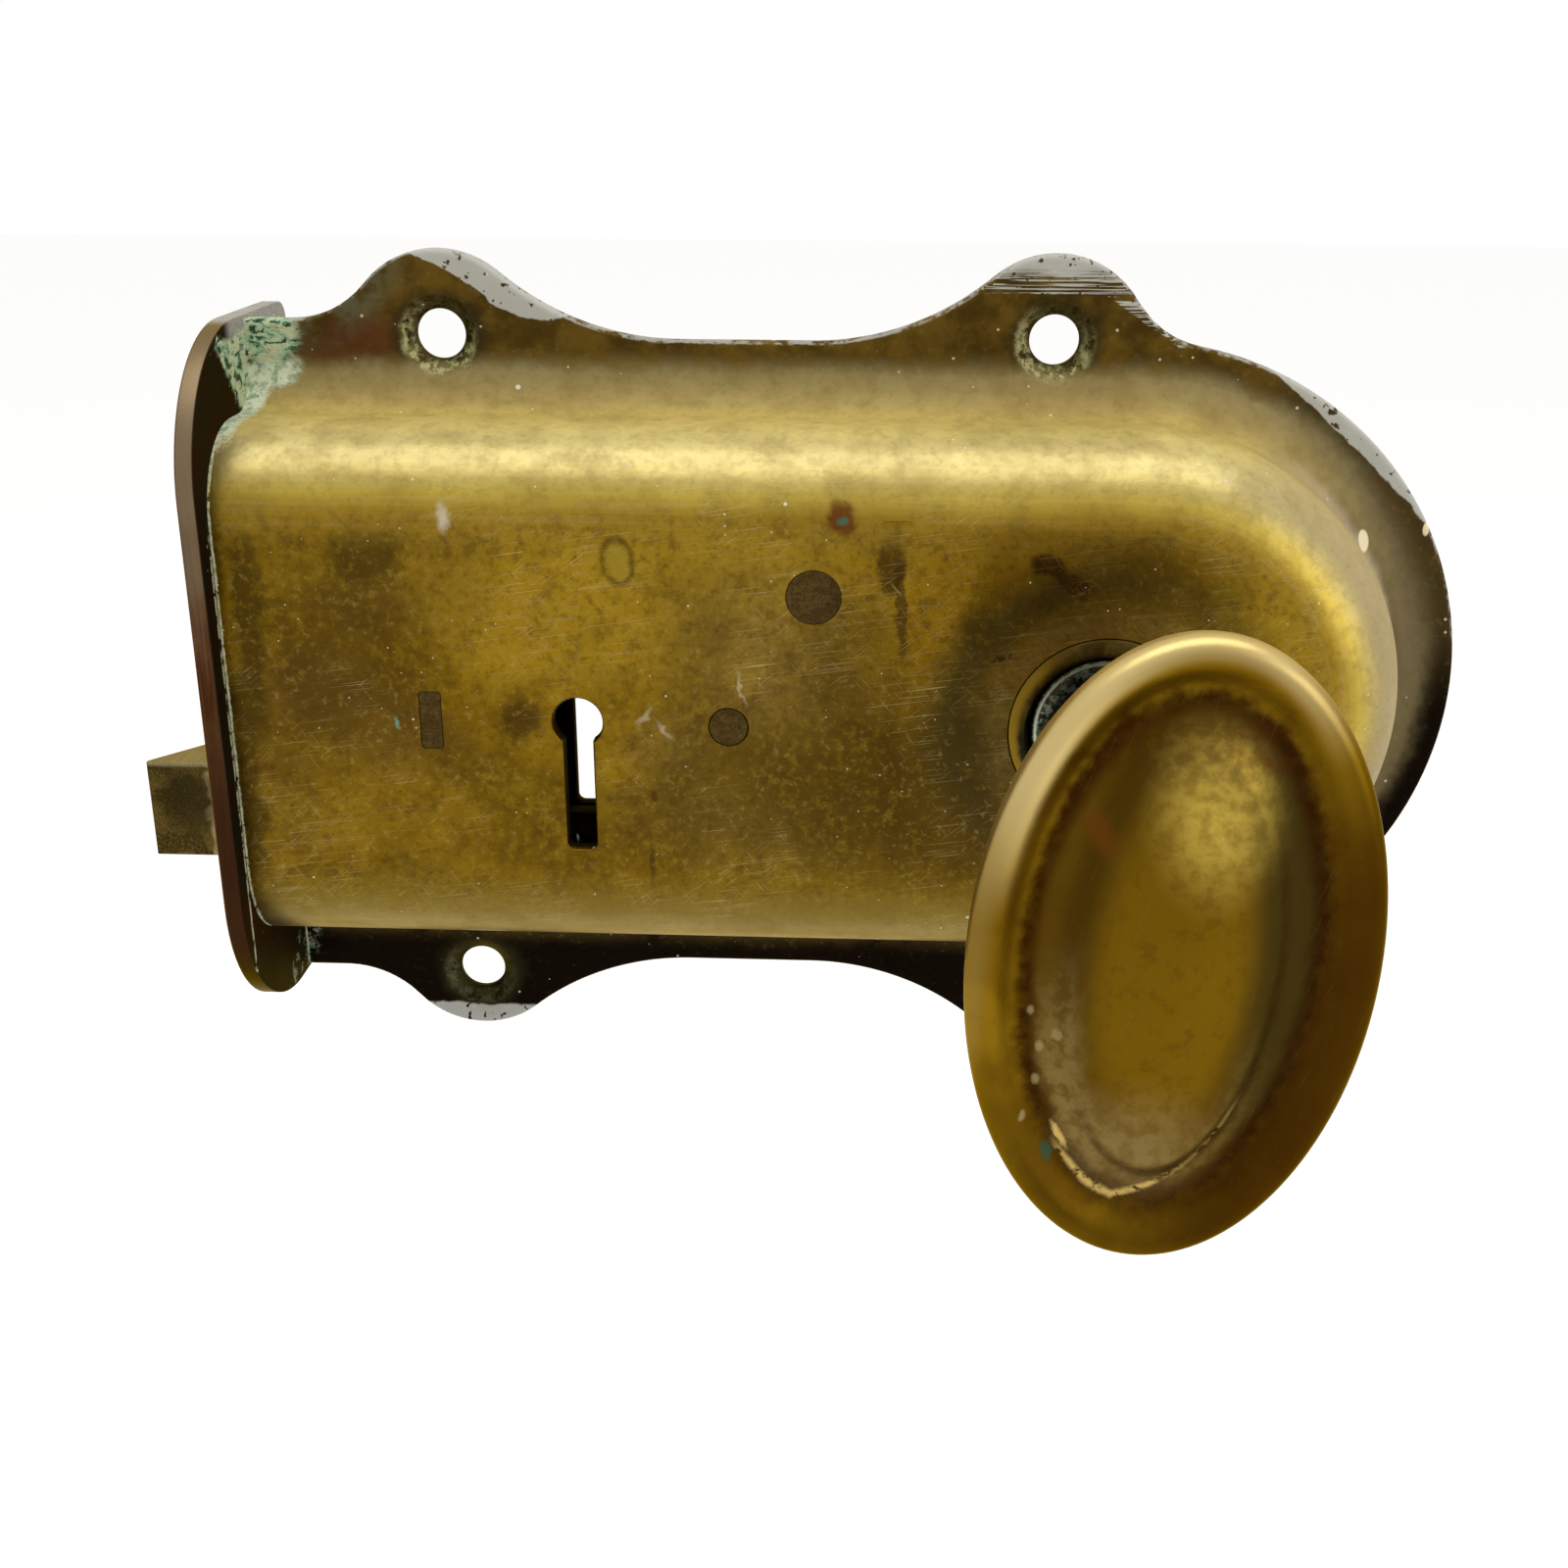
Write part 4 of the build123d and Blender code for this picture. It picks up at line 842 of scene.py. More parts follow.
def knob_brass():
    """Warm and worn on the rim and the boss, and dark in the dish and the groove, with painted highlights on the
    rim and the boss, painted light low in the dish and on the boss, and painted shade on the right and lower
    left.
    """
    f = Finish("knob_brass")
    centred = f.vector("SUBTRACT", f.at, (SPINDLE_X, 0.0, 0.0))
    across, _, tall = f.parts(f.rotated(centred, -LEAN))
    foot = f.length(f.xyz(across / (HALF_WIDTH - RIM_WIDTH), 0.0, tall / (HALF_HEIGHT - RIM_WIDTH)))
    boss = f.length(f.xyz(across / 8.0, 0.0, tall / 20.0))
    front = f.fade(f.y, -79.0, -80.5)
    coarse, middle = f.cloud(11.0, 2.0, warp=0.6), f.cloud(4.5, 3.0, 0.6, shift=4.0)
    fine = f.cloud(1.6, 3.0, 0.65, shift=14.0)
    wobble = middle * 0.10 + fine * 0.05 - 0.075
    in_dish = f.fade(foot + wobble, 1.04, 0.94) * front
    on_rim = 1 - in_dish

    f.colour = f.mix(f.fade(coarse, 0.36, 0.66), (0.150, 0.080, 0.003), (0.205, 0.116, 0.005))
    f.lay(f.fade(middle, 0.46, 0.30) * 0.35, (0.095, 0.042, 0.002))
    # Painted shade: the right side of the rim is darker.
    f.lay(f.fade(across - tall * 0.3, 0.0, 15.0) * on_rim * 0.9, (0.042, 0.015, 0.001))
    # A painted highlight along the top of the rim's crest.
    crest = f.fade(foot, 1.10, 1.20)
    f.lay(f.fade(tall - across * 0.6, 12.0, 27.0) * crest * 0.85, (0.62, 0.48, 0.20))
    # A painted highlight on the rim's left edge.
    f.lay(f.fade(across, -15.6, -17.4) * on_rim * 0.4, (0.30, 0.20, 0.05))
    # Painted shade on the lower left of the rim.
    f.lay(f.spot((SPINDLE_X - 9.6, -22.0), (3.2, 8.5), 32, 0.9) * on_rim * 0.75, (0.040, 0.016, 0.001))

    f.lay(in_dish * 0.8, (0.062, 0.031, 0.003))
    # Painted shade on the right side of the dish.
    f.lay(in_dish * f.fade(across + tall * 0.1, 2.0, 9.0) * 0.8, (0.034, 0.023, 0.005))
    groove = f.band(foot + wobble * 0.8, 0.970, 0.125, 0.9) * front
    f.lay(groove * f.fade(fine, 0.70, 0.34, 0.6, 0.95), (0.028, 0.008, 0.001))
    pitted = f.spot((SPINDLE_X + 2.4, 20.0), (8.6, 2.6), 0, 0.6) * f.fade(fine, 0.42, 0.54) * in_dish
    f.lay(pitted * 0.75, (0.045, 0.010, 0.002))
    flank = f.band(boss + wobble, 1.08, 0.30, 0.8) * front * f.fade(across, 2.0, -5.0)
    f.lay(flank * f.fade(tall, -14.0, -4.0) * 0.75, (0.050, 0.026, 0.002))
    # A painted reflection of the floor, low on the boss.
    low_boss_reflection = f.spot((SPINDLE_X - 3.5, -12.0), (9.0, 11.0), 0, 0.6) * f.fade(boss + wobble * 2.0, 0.85, 1.15)
    low_boss_reflection = low_boss_reflection * in_dish * (1 - groove)
    f.lay(low_boss_reflection * f.fade(fine, 0.62, 0.40, 0.3, 0.8), (0.225, 0.150, 0.045))
    dome = f.fade(boss + wobble, 1.05, 0.6) * front
    f.lay(dome * 0.65, (0.178, 0.097, 0.003))
    # Painted light on the dish's lower foot, which faces up.
    lit_dish_foot = f.spot((SPINDLE_X - 2.4, -18.5), (5.0, 4.6), 12, 0.9) * in_dish
    f.lay(lit_dish_foot * f.fade(fine, 0.64, 0.36, 0.5, 0.95) * 0.7, (0.235, 0.165, 0.060))
    f.lay(dome * f.fade(fine, 0.48, 0.66) * 0.35, (0.080, 0.034, 0.002))
    # A painted highlight on the top of the boss.
    pale = f.spot((SPINDLE_X + 2.6, 14.5), (3.6, 5.2), 8, 1.0) * f.fade(fine, 0.68, 0.34, 0.45, 0.9)
    f.lay(pale * front * 0.85, (0.58, 0.41, 0.07))

    dots = knob_marks(f, foot, across, tall, front, wobble, fine)
    f.lay(f.hairs(70, 6.0, 0.09, 12.0, 0.69) * 0.05, (0.52, 0.40, 0.14))
    f.rough = middle * 0.14 + 0.29 + groove * 0.15 - dome * 0.04 + dots * 0.24
    f.height = fine * 0.03 + coarse * 0.12
    f.shine = 1 - dots * 0.8
    return f.finish()


finishes["knob"] = knob_brass()
print("knob brass has", len(finishes["knob"].node_tree.nodes), "nodes")

# %% [markdown]
# ## Putting a mesh into the scene
#
# Every piece ends the same way. Its mesh, which is by then in metres and in the frame's own axes, is
# smoothed except at its sharp edges, given its finish and hung on the body that carries it, and the node of
# the imported model that it stands for is hidden.


# %% Finished pieces
SHARP, MERGE = 38.0, 1e-4


def settle(name, mesh, slot, body, node):
    """Puts a finished mesh in the scene, at the origin, with its finish and its body, and hides the node it
    replaces.
    """
    mesh.name = name
    mesh.shade_smooth()
    mesh.set_sharp_from_angle(angle=math.radians(SHARP))
    mesh.materials.clear()
    mesh.materials.append(finishes[slot])
    piece = bpy.data.objects.new(name, mesh)
    bpy.context.scene.collection.objects.link(piece)
    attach(piece, body)
    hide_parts(node)
    print(name, "has", len(mesh.polygons), "faces")
    return piece


def tidied(bm):
    """Merges the points of a working mesh that lie together, and turns its faces outwards."""
    bmesh.ops.remove_doubles(bm, verts=bm.verts, dist=MERGE)
    bmesh.ops.dissolve_degenerate(bm, edges=bm.edges, dist=MERGE)
    bmesh.ops.recalc_face_normals(bm, faces=bm.faces)
    return bm


def mesh_of(bm, name, scale=1.0):
    """A plain mesh from a working one."""
    mesh = bpy.data.meshes.new(name)
    bm.to_mesh(mesh)
    bm.free()
    mesh.transform(Matrix.Scale(scale, 4))
    return mesh


def body_of(node):
    """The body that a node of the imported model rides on."""
    for name, nodes in frame["record"]["behaviour"]["bodies"].items():
        if node in nodes:
            return name
    return None


print("the knob rides on", body_of("knob"))

# %% [markdown]
# ## The case: where its outline runs
#
# The flange's edge is a chain of arcs: an ear round each screw, hollow waists between the ears, and a
# half circle round the far end. The arcs touch without a corner, so each centre follows from its
# neighbours. The outline is kept as a dense list of points, because two things need it: the last row of
# the case's mesh, and the gap to the edge that the paint in its finish clings to.

# %% Outline of the flange
EAR_X, EAR_Z, EAR_R, END_R = 37.25, 40.4, 11.5, 41.9
END_LEVEL, WAIST_LEVEL, END_HOLLOW, WAIST_HOLLOW, ROUND_HOLLOW = 43.5, 41.4, 13.0, 34.0, 12.0


def arc_points(centre, start, end, count=40):
    """Points along the shorter arc round a centre."""
    first = math.atan2(start[1] - centre[1], start[0] - centre[0])
    sweep = math.atan2(end[1] - centre[1], end[0] - centre[0]) - first
    sweep = (sweep + math.pi) % (2 * math.pi) - math.pi
    radius = math.dist(centre, start)
    angles = [first + sweep * step / count for step in range(count + 1)]
    return [(centre[0] + radius * math.cos(a), centre[1] + radius * math.sin(a)) for a in angles]


def on_line(start, end, distance):
    """The point at a distance from start towards end."""
    span = math.dist(start, end)
    return tuple(a + (b - a) * distance / span for a, b in zip(start, end))


def hollow(ear_x, level, radius, side):
    """Centre of the hollow between an ear and a level stretch."""
    rise = level + radius - EAR_Z
    return (ear_x + side * math.sqrt((EAR_R + radius) ** 2 - rise**2), level + radius)


def round_hollow():
    """Centre of the hollow between the right ear and the round end."""
    ear, end = (EAR_X, EAR_Z), (ROUND_X, 0.0)
    from_ear, from_end, span = EAR_R + ROUND_HOLLOW, END_R + ROUND_HOLLOW, math.dist(ear, end)
    along = (from_ear**2 - from_end**2 + span**2) / (2 * span)
    across = math.sqrt(from_ear**2 - along**2)
    foot = on_line(ear, end, along)
    return (foot[0] + across * (ear[1] - end[1]) / span, foot[1] + across * (end[0] - ear[0]) / span)


def upper_outline():
    """The upper half of the flange's edge, from the forend to the end of the round end."""
    left, right = (-EAR_X, EAR_Z), (EAR_X, EAR_Z)
    first, second = hollow(-EAR_X, END_LEVEL, END_HOLLOW, -1), hollow(-EAR_X, WAIST_LEVEL, WAIST_HOLLOW, 1)
    third, fourth, end = hollow(EAR_X, WAIST_LEVEL, WAIST_HOLLOW, -1), round_hollow(), (ROUND_X, 0.0)
    points = [(LEFT_X, END_LEVEL)]
    points += arc_points(first, (first[0], END_LEVEL), on_line(left, first, EAR_R))
    points += arc_points(left, on_line(left, first, EAR_R), on_line(left, second, EAR_R))
    points += arc_points(second, on_line(left, second, EAR_R), (second[0], WAIST_LEVEL))
    points += arc_points(third, (third[0], WAIST_LEVEL), on_line(right, third, EAR_R))
    points += arc_points(right, on_line(right, third, EAR_R), on_line(right, fourth, EAR_R))
    points += arc_points(fourth, on_line(right, fourth, EAR_R), on_line(end, fourth, END_R))
    points += arc_points(end, on_line(end, fourth, END_R), (ROUND_X + END_R, 0.0))
    return points


top_half = upper_outline()
outline = numpy.array(top_half + [(x, -z) for x, z in reversed(top_half)])


def edge_gap(points):
    """Distance of each point from the flange's edge."""
    start, run = outline[:-1], outline[1:] - outline[:-1]
    squares = numpy.maximum((run**2).sum(1), 1e-12)
    gaps = []
    for chunk in numpy.array_split(points, max(1, len(points) // 4000)):
        offset = chunk[:, None, :] - start[None]
        share = numpy.clip((offset * run).sum(2) / squares, 0, 1)
        gaps.append(numpy.sqrt(((offset - share[..., None] * run) ** 2).sum(2)).min(1))
    return numpy.concatenate(gaps)


def reach(origin, direction):
    """How far the edge lies from a point on the middle line, in a direction."""
    far = 0.0
    for a, b in zip(outline[:-1], outline[1:]):
        edge = b - a
        across = direction[0] * edge[1] - direction[1] * edge[0]
        if abs(across) < 1e-12:
            continue
        gap = a - origin
        share = (gap[0] * direction[1] - gap[1] * direction[0]) / across
        distance = (gap[0] * edge[1] - gap[1] * edge[0]) / across
        if -1e-9 <= share <= 1 + 1e-9:
            far = max(far, distance)
    return far


print("outline has", len(outline), "points")

# %% [markdown]
# ## The case: one skin from front to back
#
# The case is a casting with soft shoulders, and it could be a box with rounded edges, but then its faces
# would not follow the form. It is built here as a sheet of columns and rows instead. A column starts on
# the case's middle line and runs outwards: over the flat front, round the shoulder, down the wall, through
# the hollow root and across the flange, round the edge, and back inside along the cavity. The columns
# step along one side, fan round the far end and come back along the other side. Its quads follow the
# form, so the light runs along it as it does on the real one. A little noise in the depth takes away the
# look of a machined block.

# %% Case skin
HALF, DEPTH, WALL, SHOULDER, ROOT, FLANGE = 32.9, 21.0, 2.0, 11.0, 5.0, 2.3


def case_columns(steps=108, fan=84):
    """Start and direction of each column, from the lower left, round the far end, to the upper left."""
    xs = [LEFT_X + (ROUND_X - LEFT_X) * step / steps for step in range(steps + 1)]
    columns = [((x, 0.0), (0.0, -1.0)) for x in xs]
    for step in range(1, fan):
        angle = -math.pi / 2 + math.pi * step / fan
        columns.append(((ROUND_X, 0.0), (math.cos(angle), math.sin(angle))))
    return columns + [((x, 0.0), (0.0, 1.0)) for x in reversed(xs)]


def quarter(middle, radius, first, last, count):
    """Points of an arc, often a quarter of a circle, between two angles in degrees."""
    angles = [math.radians(first + (last - first) * step / count) for step in range(count + 1)]
    return [(middle[0] + radius * math.cos(a), middle[1] + radius * math.sin(a)) for a in angles]


def column_rows(edge):
    """Distance from the middle line and depth of each row of one column, whose flange reaches the edge."""
    rows = [(share * (HALF - SHOULDER), DEPTH) for share in (0.0, 0.12, 0.25, 0.4, 0.55, 0.7, 0.85)]
    rows += quarter((HALF - SHOULDER, DEPTH - SHOULDER), SHOULDER, 90, 0, 16)
    rows += [(HALF, 8.6)]
    rows += quarter((HALF + ROOT, FLANGE + ROOT), ROOT, 180, 270, 10)
    start = HALF + ROOT
    rows += [(start + (edge - 0.7 - start) * share, FLANGE) for share in (0.2, 0.4, 0.6, 0.8, 1.0)]
    rows += quarter((edge - 0.5, FLANGE - 0.5), 0.5, 75, 0, 3)
    rows += quarter((edge - 0.25, 0.25), 0.25, 0, -90, 2)
    inner_half, inner_shoulder, floor = HALF - WALL, SHOULDER - WALL, DEPTH - WALL
    rows += [((inner_half + edge) / 2, 0.0), (inner_half, 0.0), (inner_half, 5.0)]
    rows += quarter((inner_half - inner_shoulder, floor - inner_shoulder), inner_shoulder, 0, 90, 8)
    return rows + [(0.0, floor)]


def case_skin():
    """The whole skin as a working mesh in millimetres, closed at the forend's end."""
    bm = bmesh.new()
    grid = []
    for origin, direction in case_columns():
        edge = reach(numpy.array(origin), numpy.array(direction))
        column = []
        for distance, depth in column_rows(edge):
            x, z = origin[0] + direction[0] * distance, origin[1] + direction[1] * distance + RISE
            worn = 0.5 + 0.5 * noise.noise(Vector((x / 17.0, z / 13.0, 4.0)))
            dip = 0.10 * worn if distance < HALF and depth > 19.5 else 0.0
            column.append(bm.verts.new((x, -(depth - dip), z)))
        grid.append(column)
    for left, right in zip(grid, grid[1:]):
        for row in range(len(left) - 1):
            bm.faces.new((left[row], left[row + 1], right[row + 1], right[row]))
    for column in (grid[0], grid[-1]):
        bm.faces.new(column)
    return tidied(bm)


skin = case_skin()
open_edges = [edge for edge in skin.edges if not edge.is_manifold]
print("case skin", len(skin.faces), "faces", len(open_edges), "open edges")

# %% [markdown]
# ## The case: its holes
#
# The holes are cut with cutters that are a little wider at the top, so that each hole gets the worn lip
# that a file and years of keys leave. A cutter is a stack of the hole's outline, moved out or in at
# several depths. The ends of some stumps show in the front as discs and bars, so their holes have a lip as
# well, which draws a fine line round each.


# %% Cutters
def circle(x, z, radius, count=64):
    """Points of a circle on the front."""
    angles = [2 * math.pi * step / count for step in range(count)]
    return [(x + radius * math.cos(a), z + radius * math.sin(a)) for a in angles]


def rectangle(x, z, width, height, turn=0.0, corner=0.25, count=4):
    """A rectangle with small round corners, turned from level."""
    points = []
    for sx, sz, first in ((1, 1, 0), (-1, 1, 90), (-1, -1, 180), (1, -1, 270)):
        for step in range(count + 1):
            a = math.radians(first + 90 * step / count)
            u = sx * (width / 2 - corner) + corner * math.cos(a)
            w = sz * (height / 2 - corner) + corner * math.sin(a)
            t = math.radians(turn)
            points.append((x + u * math.cos(t) - w * math.sin(t), z + u * math.sin(t) + w * math.cos(t)))
    return points


def keyhole_outline(x=-19.0, head=3.0, half=1.75, foot=-16.4, corner=0.9):
    """A round head with a slot below it, whose foot has round corners."""
    meet = math.degrees(math.asin(half / head))
    points = quarter((x, 0.0), head, meet - 90, 270 - meet, 40)
    for centre, start in ((x - half + corner, 180), (x + half - corner, 270)):
        points += quarter((centre, foot + corner), corner, start, start + 90, 5)
    return points


def moved_out(points, distance):
    """The outline with every side moved out by a distance."""
    moved = []
    for before, point, after in zip(points[-1:] + points[:-1], points, points[1:] + points[:1]):
        run = Vector((after[0] - before[0], after[1] - before[1])).normalized()
        moved.append((point[0] + run.y * distance, point[1] - run.x * distance))
    return moved


def stacked(levels, ring=False):
    """A form through outlines, each at its depth: closed at both ends, or a ring back to its start."""
    bm = bmesh.new()
    stack = [[bm.verts.new((x, -depth, z)) for x, z in points] for points, depth in levels]
    for low, high in zip(stack, stack[1:] + stack[:1] if ring else stack[1:]):
        for index in range(len(low)):
            after = (index + 1) % len(low)
            bm.faces.new((low[index], low[after], high[after], high[index]))
    if not ring:
        bm.faces.new(stack[0])
        bm.faces.new(stack[-1])
    bmesh.ops.recalc_face_normals(bm, faces=bm.faces)
    return bm


def cutter(points, levels):
    """A closed stack of the outline: each level is a depth and how far the outline is moved out there."""
    return stacked([(moved_out(points, distance), depth) for depth, distance in levels])


def lipped(low, high, lip):
    """Levels of a straight hole up to a depth, with a rounded lip of that width."""
    curve = [(high - lip * 0.45, lip * 0.18), (high - lip * 0.12, lip * 0.55), (high + 0.02, lip)]
    return [(low, 0.0), (high - lip, 0.0)] + curve + [(high + 2.0, lip)]


countersink = [(-1.0, 0.0), (0.62, 0.0), (0.74, 0.12), (2.1, 1.62), (2.3, 1.95), (2.5, 2.35), (4.0, 2.4)]
holes = [cutter(circle(x, z, 3.0), countersink) for x, z in SCREWS]
through = [
    (keyhole_outline(), 0.45), (circle(SPINDLE_X, 0.0, 11.5, 96), 0.25), (circle(9.25, 15.9, 3.2), 0.22),
    (circle(-0.85, -0.2, 2.3), 0.3), (rectangle(-36.65, 0.0, 2.6, 7.1), 0.2),
    (rectangle(18.85, 17.3, 3.2, 15.4), 0.06), (rectangle(38.5, 18.7, 8.0, 2.8, -31.0), 0.08),
]
holes += [cutter(points, lipped(17.5, DEPTH, lip)) for points, lip in through]
print(len(holes), "cutters")

# %% [markdown]
# The cutters are joined into one and taken from the skin in a single exact cut, which is quick and leaves
# the quads around the holes as they are. Bosses for the back plate's screws and lugs for the forend's
# stand inside the case; they belong to the same casting and go into the same mesh.


# %% Case mesh
def joined(working):
    """One mesh from several working ones."""
    whole = bmesh.new()
    for bm in working:
        part = mesh_of(bm, "part")
        whole.from_mesh(part)
        bpy.data.meshes.remove(part)
    return mesh_of(whole, "joined")


def plain(piece):
    """The piece as it shows, with its modifiers worked out, as a mesh of its own."""
    graph = bpy.context.evaluated_depsgraph_get()
    shown = piece.evaluated_get(graph)
    mesh = bpy.data.meshes.new_from_object(shown, preserve_all_data_layers=True, depsgraph=graph)
    bpy.data.objects.remove(piece)
    return mesh


def cut(mesh, tool):
    """The mesh with the tool's space taken out of it."""
    piece, knife = bpy.data.objects.new("piece", mesh), bpy.data.objects.new("knife", tool)
    for each in (piece, knife):
        bpy.context.scene.collection.objects.link(each)
    change = piece.modifiers.new("cut", "BOOLEAN")
    change.object, change.operation, change.solver = knife, "DIFFERENCE", "EXACT"
    result = plain(piece)
    bpy.data.objects.remove(knife)
    return result


def turned(rings, x=0.0, z=0.0, count=64, ring=False):
    """A turned form: each ring is a radius and a depth, round an axis square to the door."""
    circles = [(circle(x, z, max(radius, 1e-5), count), depth) for radius, depth in rings]
    return tidied(stacked(circles, ring))


def block(low, high, soften=0.4):
    """A block between two corners with its edges rounded."""
    bm = bmesh.new()
    bmesh.ops.create_cube(bm, size=1.0)
    for vert in bm.verts:
        vert.co = [(a + b) / 2 + c * (b - a) for a, b, c in zip(low, high, vert.co)]
    bmesh.ops.bevel(bm, geom=list(bm.edges), offset=soften, segments=3, profile=0.5, affect="EDGES")
    return bm


def screw_boss(x, z):
    """A hollow boss inside the case, which ends in the wall, a millimetre under its outer face."""
    hole, outside = [(0.0, 8.05), (1.25, 8.05), (1.25, 1.9)], [(2.6, 2.0), (2.6, 19.9), (0.0, 19.9)]
    bm = turned(hole + [(1.45, 1.8), (2.4, 1.8)] + outside, x, z, 40)
    for vert in bm.verts:
        off_line = math.hypot(max(vert.co.x - ROUND_X, 0.0), vert.co.z - RISE)
        slope = min(max(off_line - (HALF - SHOULDER), 0.0), SHOULDER)
        skin_depth = DEPTH - SHOULDER + math.sqrt(SHOULDER**2 - slope**2)
        vert.co.y = max(vert.co.y, 1.0 - skin_depth)
    return bm


def forend_lug(middle):
    """A lug for one of the forend's screws."""
    return block((LEFT_X, -13.0, middle - 3.6), (LEFT_X + 8.0, -6.0, middle + 3.6))


def edge_gaps(mesh):
    """How far each point of the case's mesh lies from the flange's edge, in millimetres."""
    places = numpy.empty(len(mesh.vertices) * 3)
    mesh.vertices.foreach_get("co", places)
    places = places.reshape(-1, 3) / MM
    return edge_gap(numpy.column_stack((places[:, 0], places[:, 2] - RISE)))


inner_works = [screw_boss(x, z) for x, z in ((-49.0, 27.0), (62.0, 8.0), (60.0, -12.0))]
inner_works += [forend_lug(RISE + side * 27.9) for side in (-1, 1)]
whole = bmesh.new()
for part in (cut(joined([skin]), joined(holes)), joined(inner_works)):
    whole.from_mesh(part)
case_mesh = mesh_of(whole, "case", MM)
gap_values = case_mesh.attributes.new("edge_gap", "FLOAT", "POINT").data
gap_values.foreach_set("value", edge_gaps(case_mesh).astype(numpy.float32))
settle("case_skin", case_mesh, "case", "lock_case", "case")

# %% [markdown]
# ## The knob and the screws, grown by rules
#
# The knob's shape follows a rule: from its neck it spreads into an oval, rolls over a rim of even width,
# dips into a groove and rises again to a boss. So it is made with Geometry Nodes. A flat grid is taken,
# one side of it is bent all the way round, and the other side, from 0 to 5, runs through five stretches
# of the profile, each of which adds its own share to the width, the height and the depth. The sizes are
# named inputs, so a fatter rim or a longer boss is one number. The screws use the same trick with a
# simpler profile: a countersunk head, and a shank with ridges.


# %% Rules
class Rule(Bench):
    """A Geometry Nodes tree with named inputs, and what is needed to run it."""

    def __init__(self, name, sizes, whole=()):
        super().__init__(bpy.data.node_groups.new(name, "GeometryNodeTree"))
        face = self.tree.interface
        face.new_socket("Geometry", in_out="INPUT", socket_type="NodeSocketGeometry")
        for label in sizes:
            kind = "NodeSocketInt" if label in whole else "NodeSocketFloat"
            face.new_socket(label, in_out="INPUT", socket_type=kind)
        face.new_socket("Material", in_out="INPUT", socket_type="NodeSocketMaterial")
        face.new_socket("Geometry", in_out="OUTPUT", socket_type="NodeSocketGeometry")
        self.inputs = self.tree.nodes.new("NodeGroupInput")

    def given(self, label):
        """The value of a named input."""
        return Wire(self, self.inputs.outputs[label])

    def wrapped(self, around, rings):
        """A grid to be bent round: the grid, its share of a turn as an angle, and its share of the profile."""
        values = {"Size X": 1.0, "Size Y": 1.0, "Vertices X": around, "Vertices Y": rings}
        grid = self.add("GeometryNodeMeshGrid", None, values)
        x, y, _ = self.parts(self.add("GeometryNodeInputPosition"))
        return grid, (x + 0.5) * (2 * math.pi), y + 0.5

    def stretch(self, share, count, index):
        """0 before a stretch of the profile, 1 after it, and its own share in between."""
        values = {"Value": share * float(count) - float(index), "Min": 0.0, "Max": 1.0}
        return self.add("ShaderNodeClamp", None, values)

    def end(self, geometry, merge):
        """Closes the seam and the poles, and ends the tree."""
        geometry = self.add("GeometryNodeRealizeInstances", None, {0: geometry})
        geometry = self.add("GeometryNodeMergeByDistance", None, {"Geometry": geometry, "Distance": merge})
        values = {"Geometry": geometry, "Material": self.given("Material")}
        self.add("NodeGroupOutput", None, {0: self.add("GeometryNodeSetMaterial", None, values)})

    def run(self, mesh, values, material):
        """Runs the rule on a mesh with these sizes, and gives the plain mesh that it makes."""
        piece = bpy.data.objects.new("rule", mesh)
        bpy.context.scene.collection.objects.link(piece)
        change = piece.modifiers.new("rule", "NODES")
        change.node_group = self.tree
        for item in self.tree.interface.items_tree:
            if item.in_out == "INPUT" and item.name in values:
                change[item.identifier] = values[item.name]
            elif item.in_out == "INPUT" and item.name == "Material":
                change[item.identifier] = material
        made = plain(piece)
        bm = bmesh.new()
        bm.from_mesh(made)
        bpy.data.meshes.remove(made)
        return mesh_of(tidied(bm), "grown", MM)


print("rules ready")

# %% Knob rule
knob_sizes = {
    "Neck radius": 9.0, "Half width": HALF_WIDTH, "Half height": HALF_HEIGHT, "Rim width": RIM_WIDTH,
    "Rim rise": 1.7, "Groove dip": 0.3, "Boss half width": 7.6, "Boss half height": 19.4, "Boss rise": 0.9,
    "Crown": 2.2, "Back depth": 66.0, "Rim depth": 81.7, "Lean": LEAN, "Across": SPINDLE_X,
    "Around": 144, "Rings": 116,
}


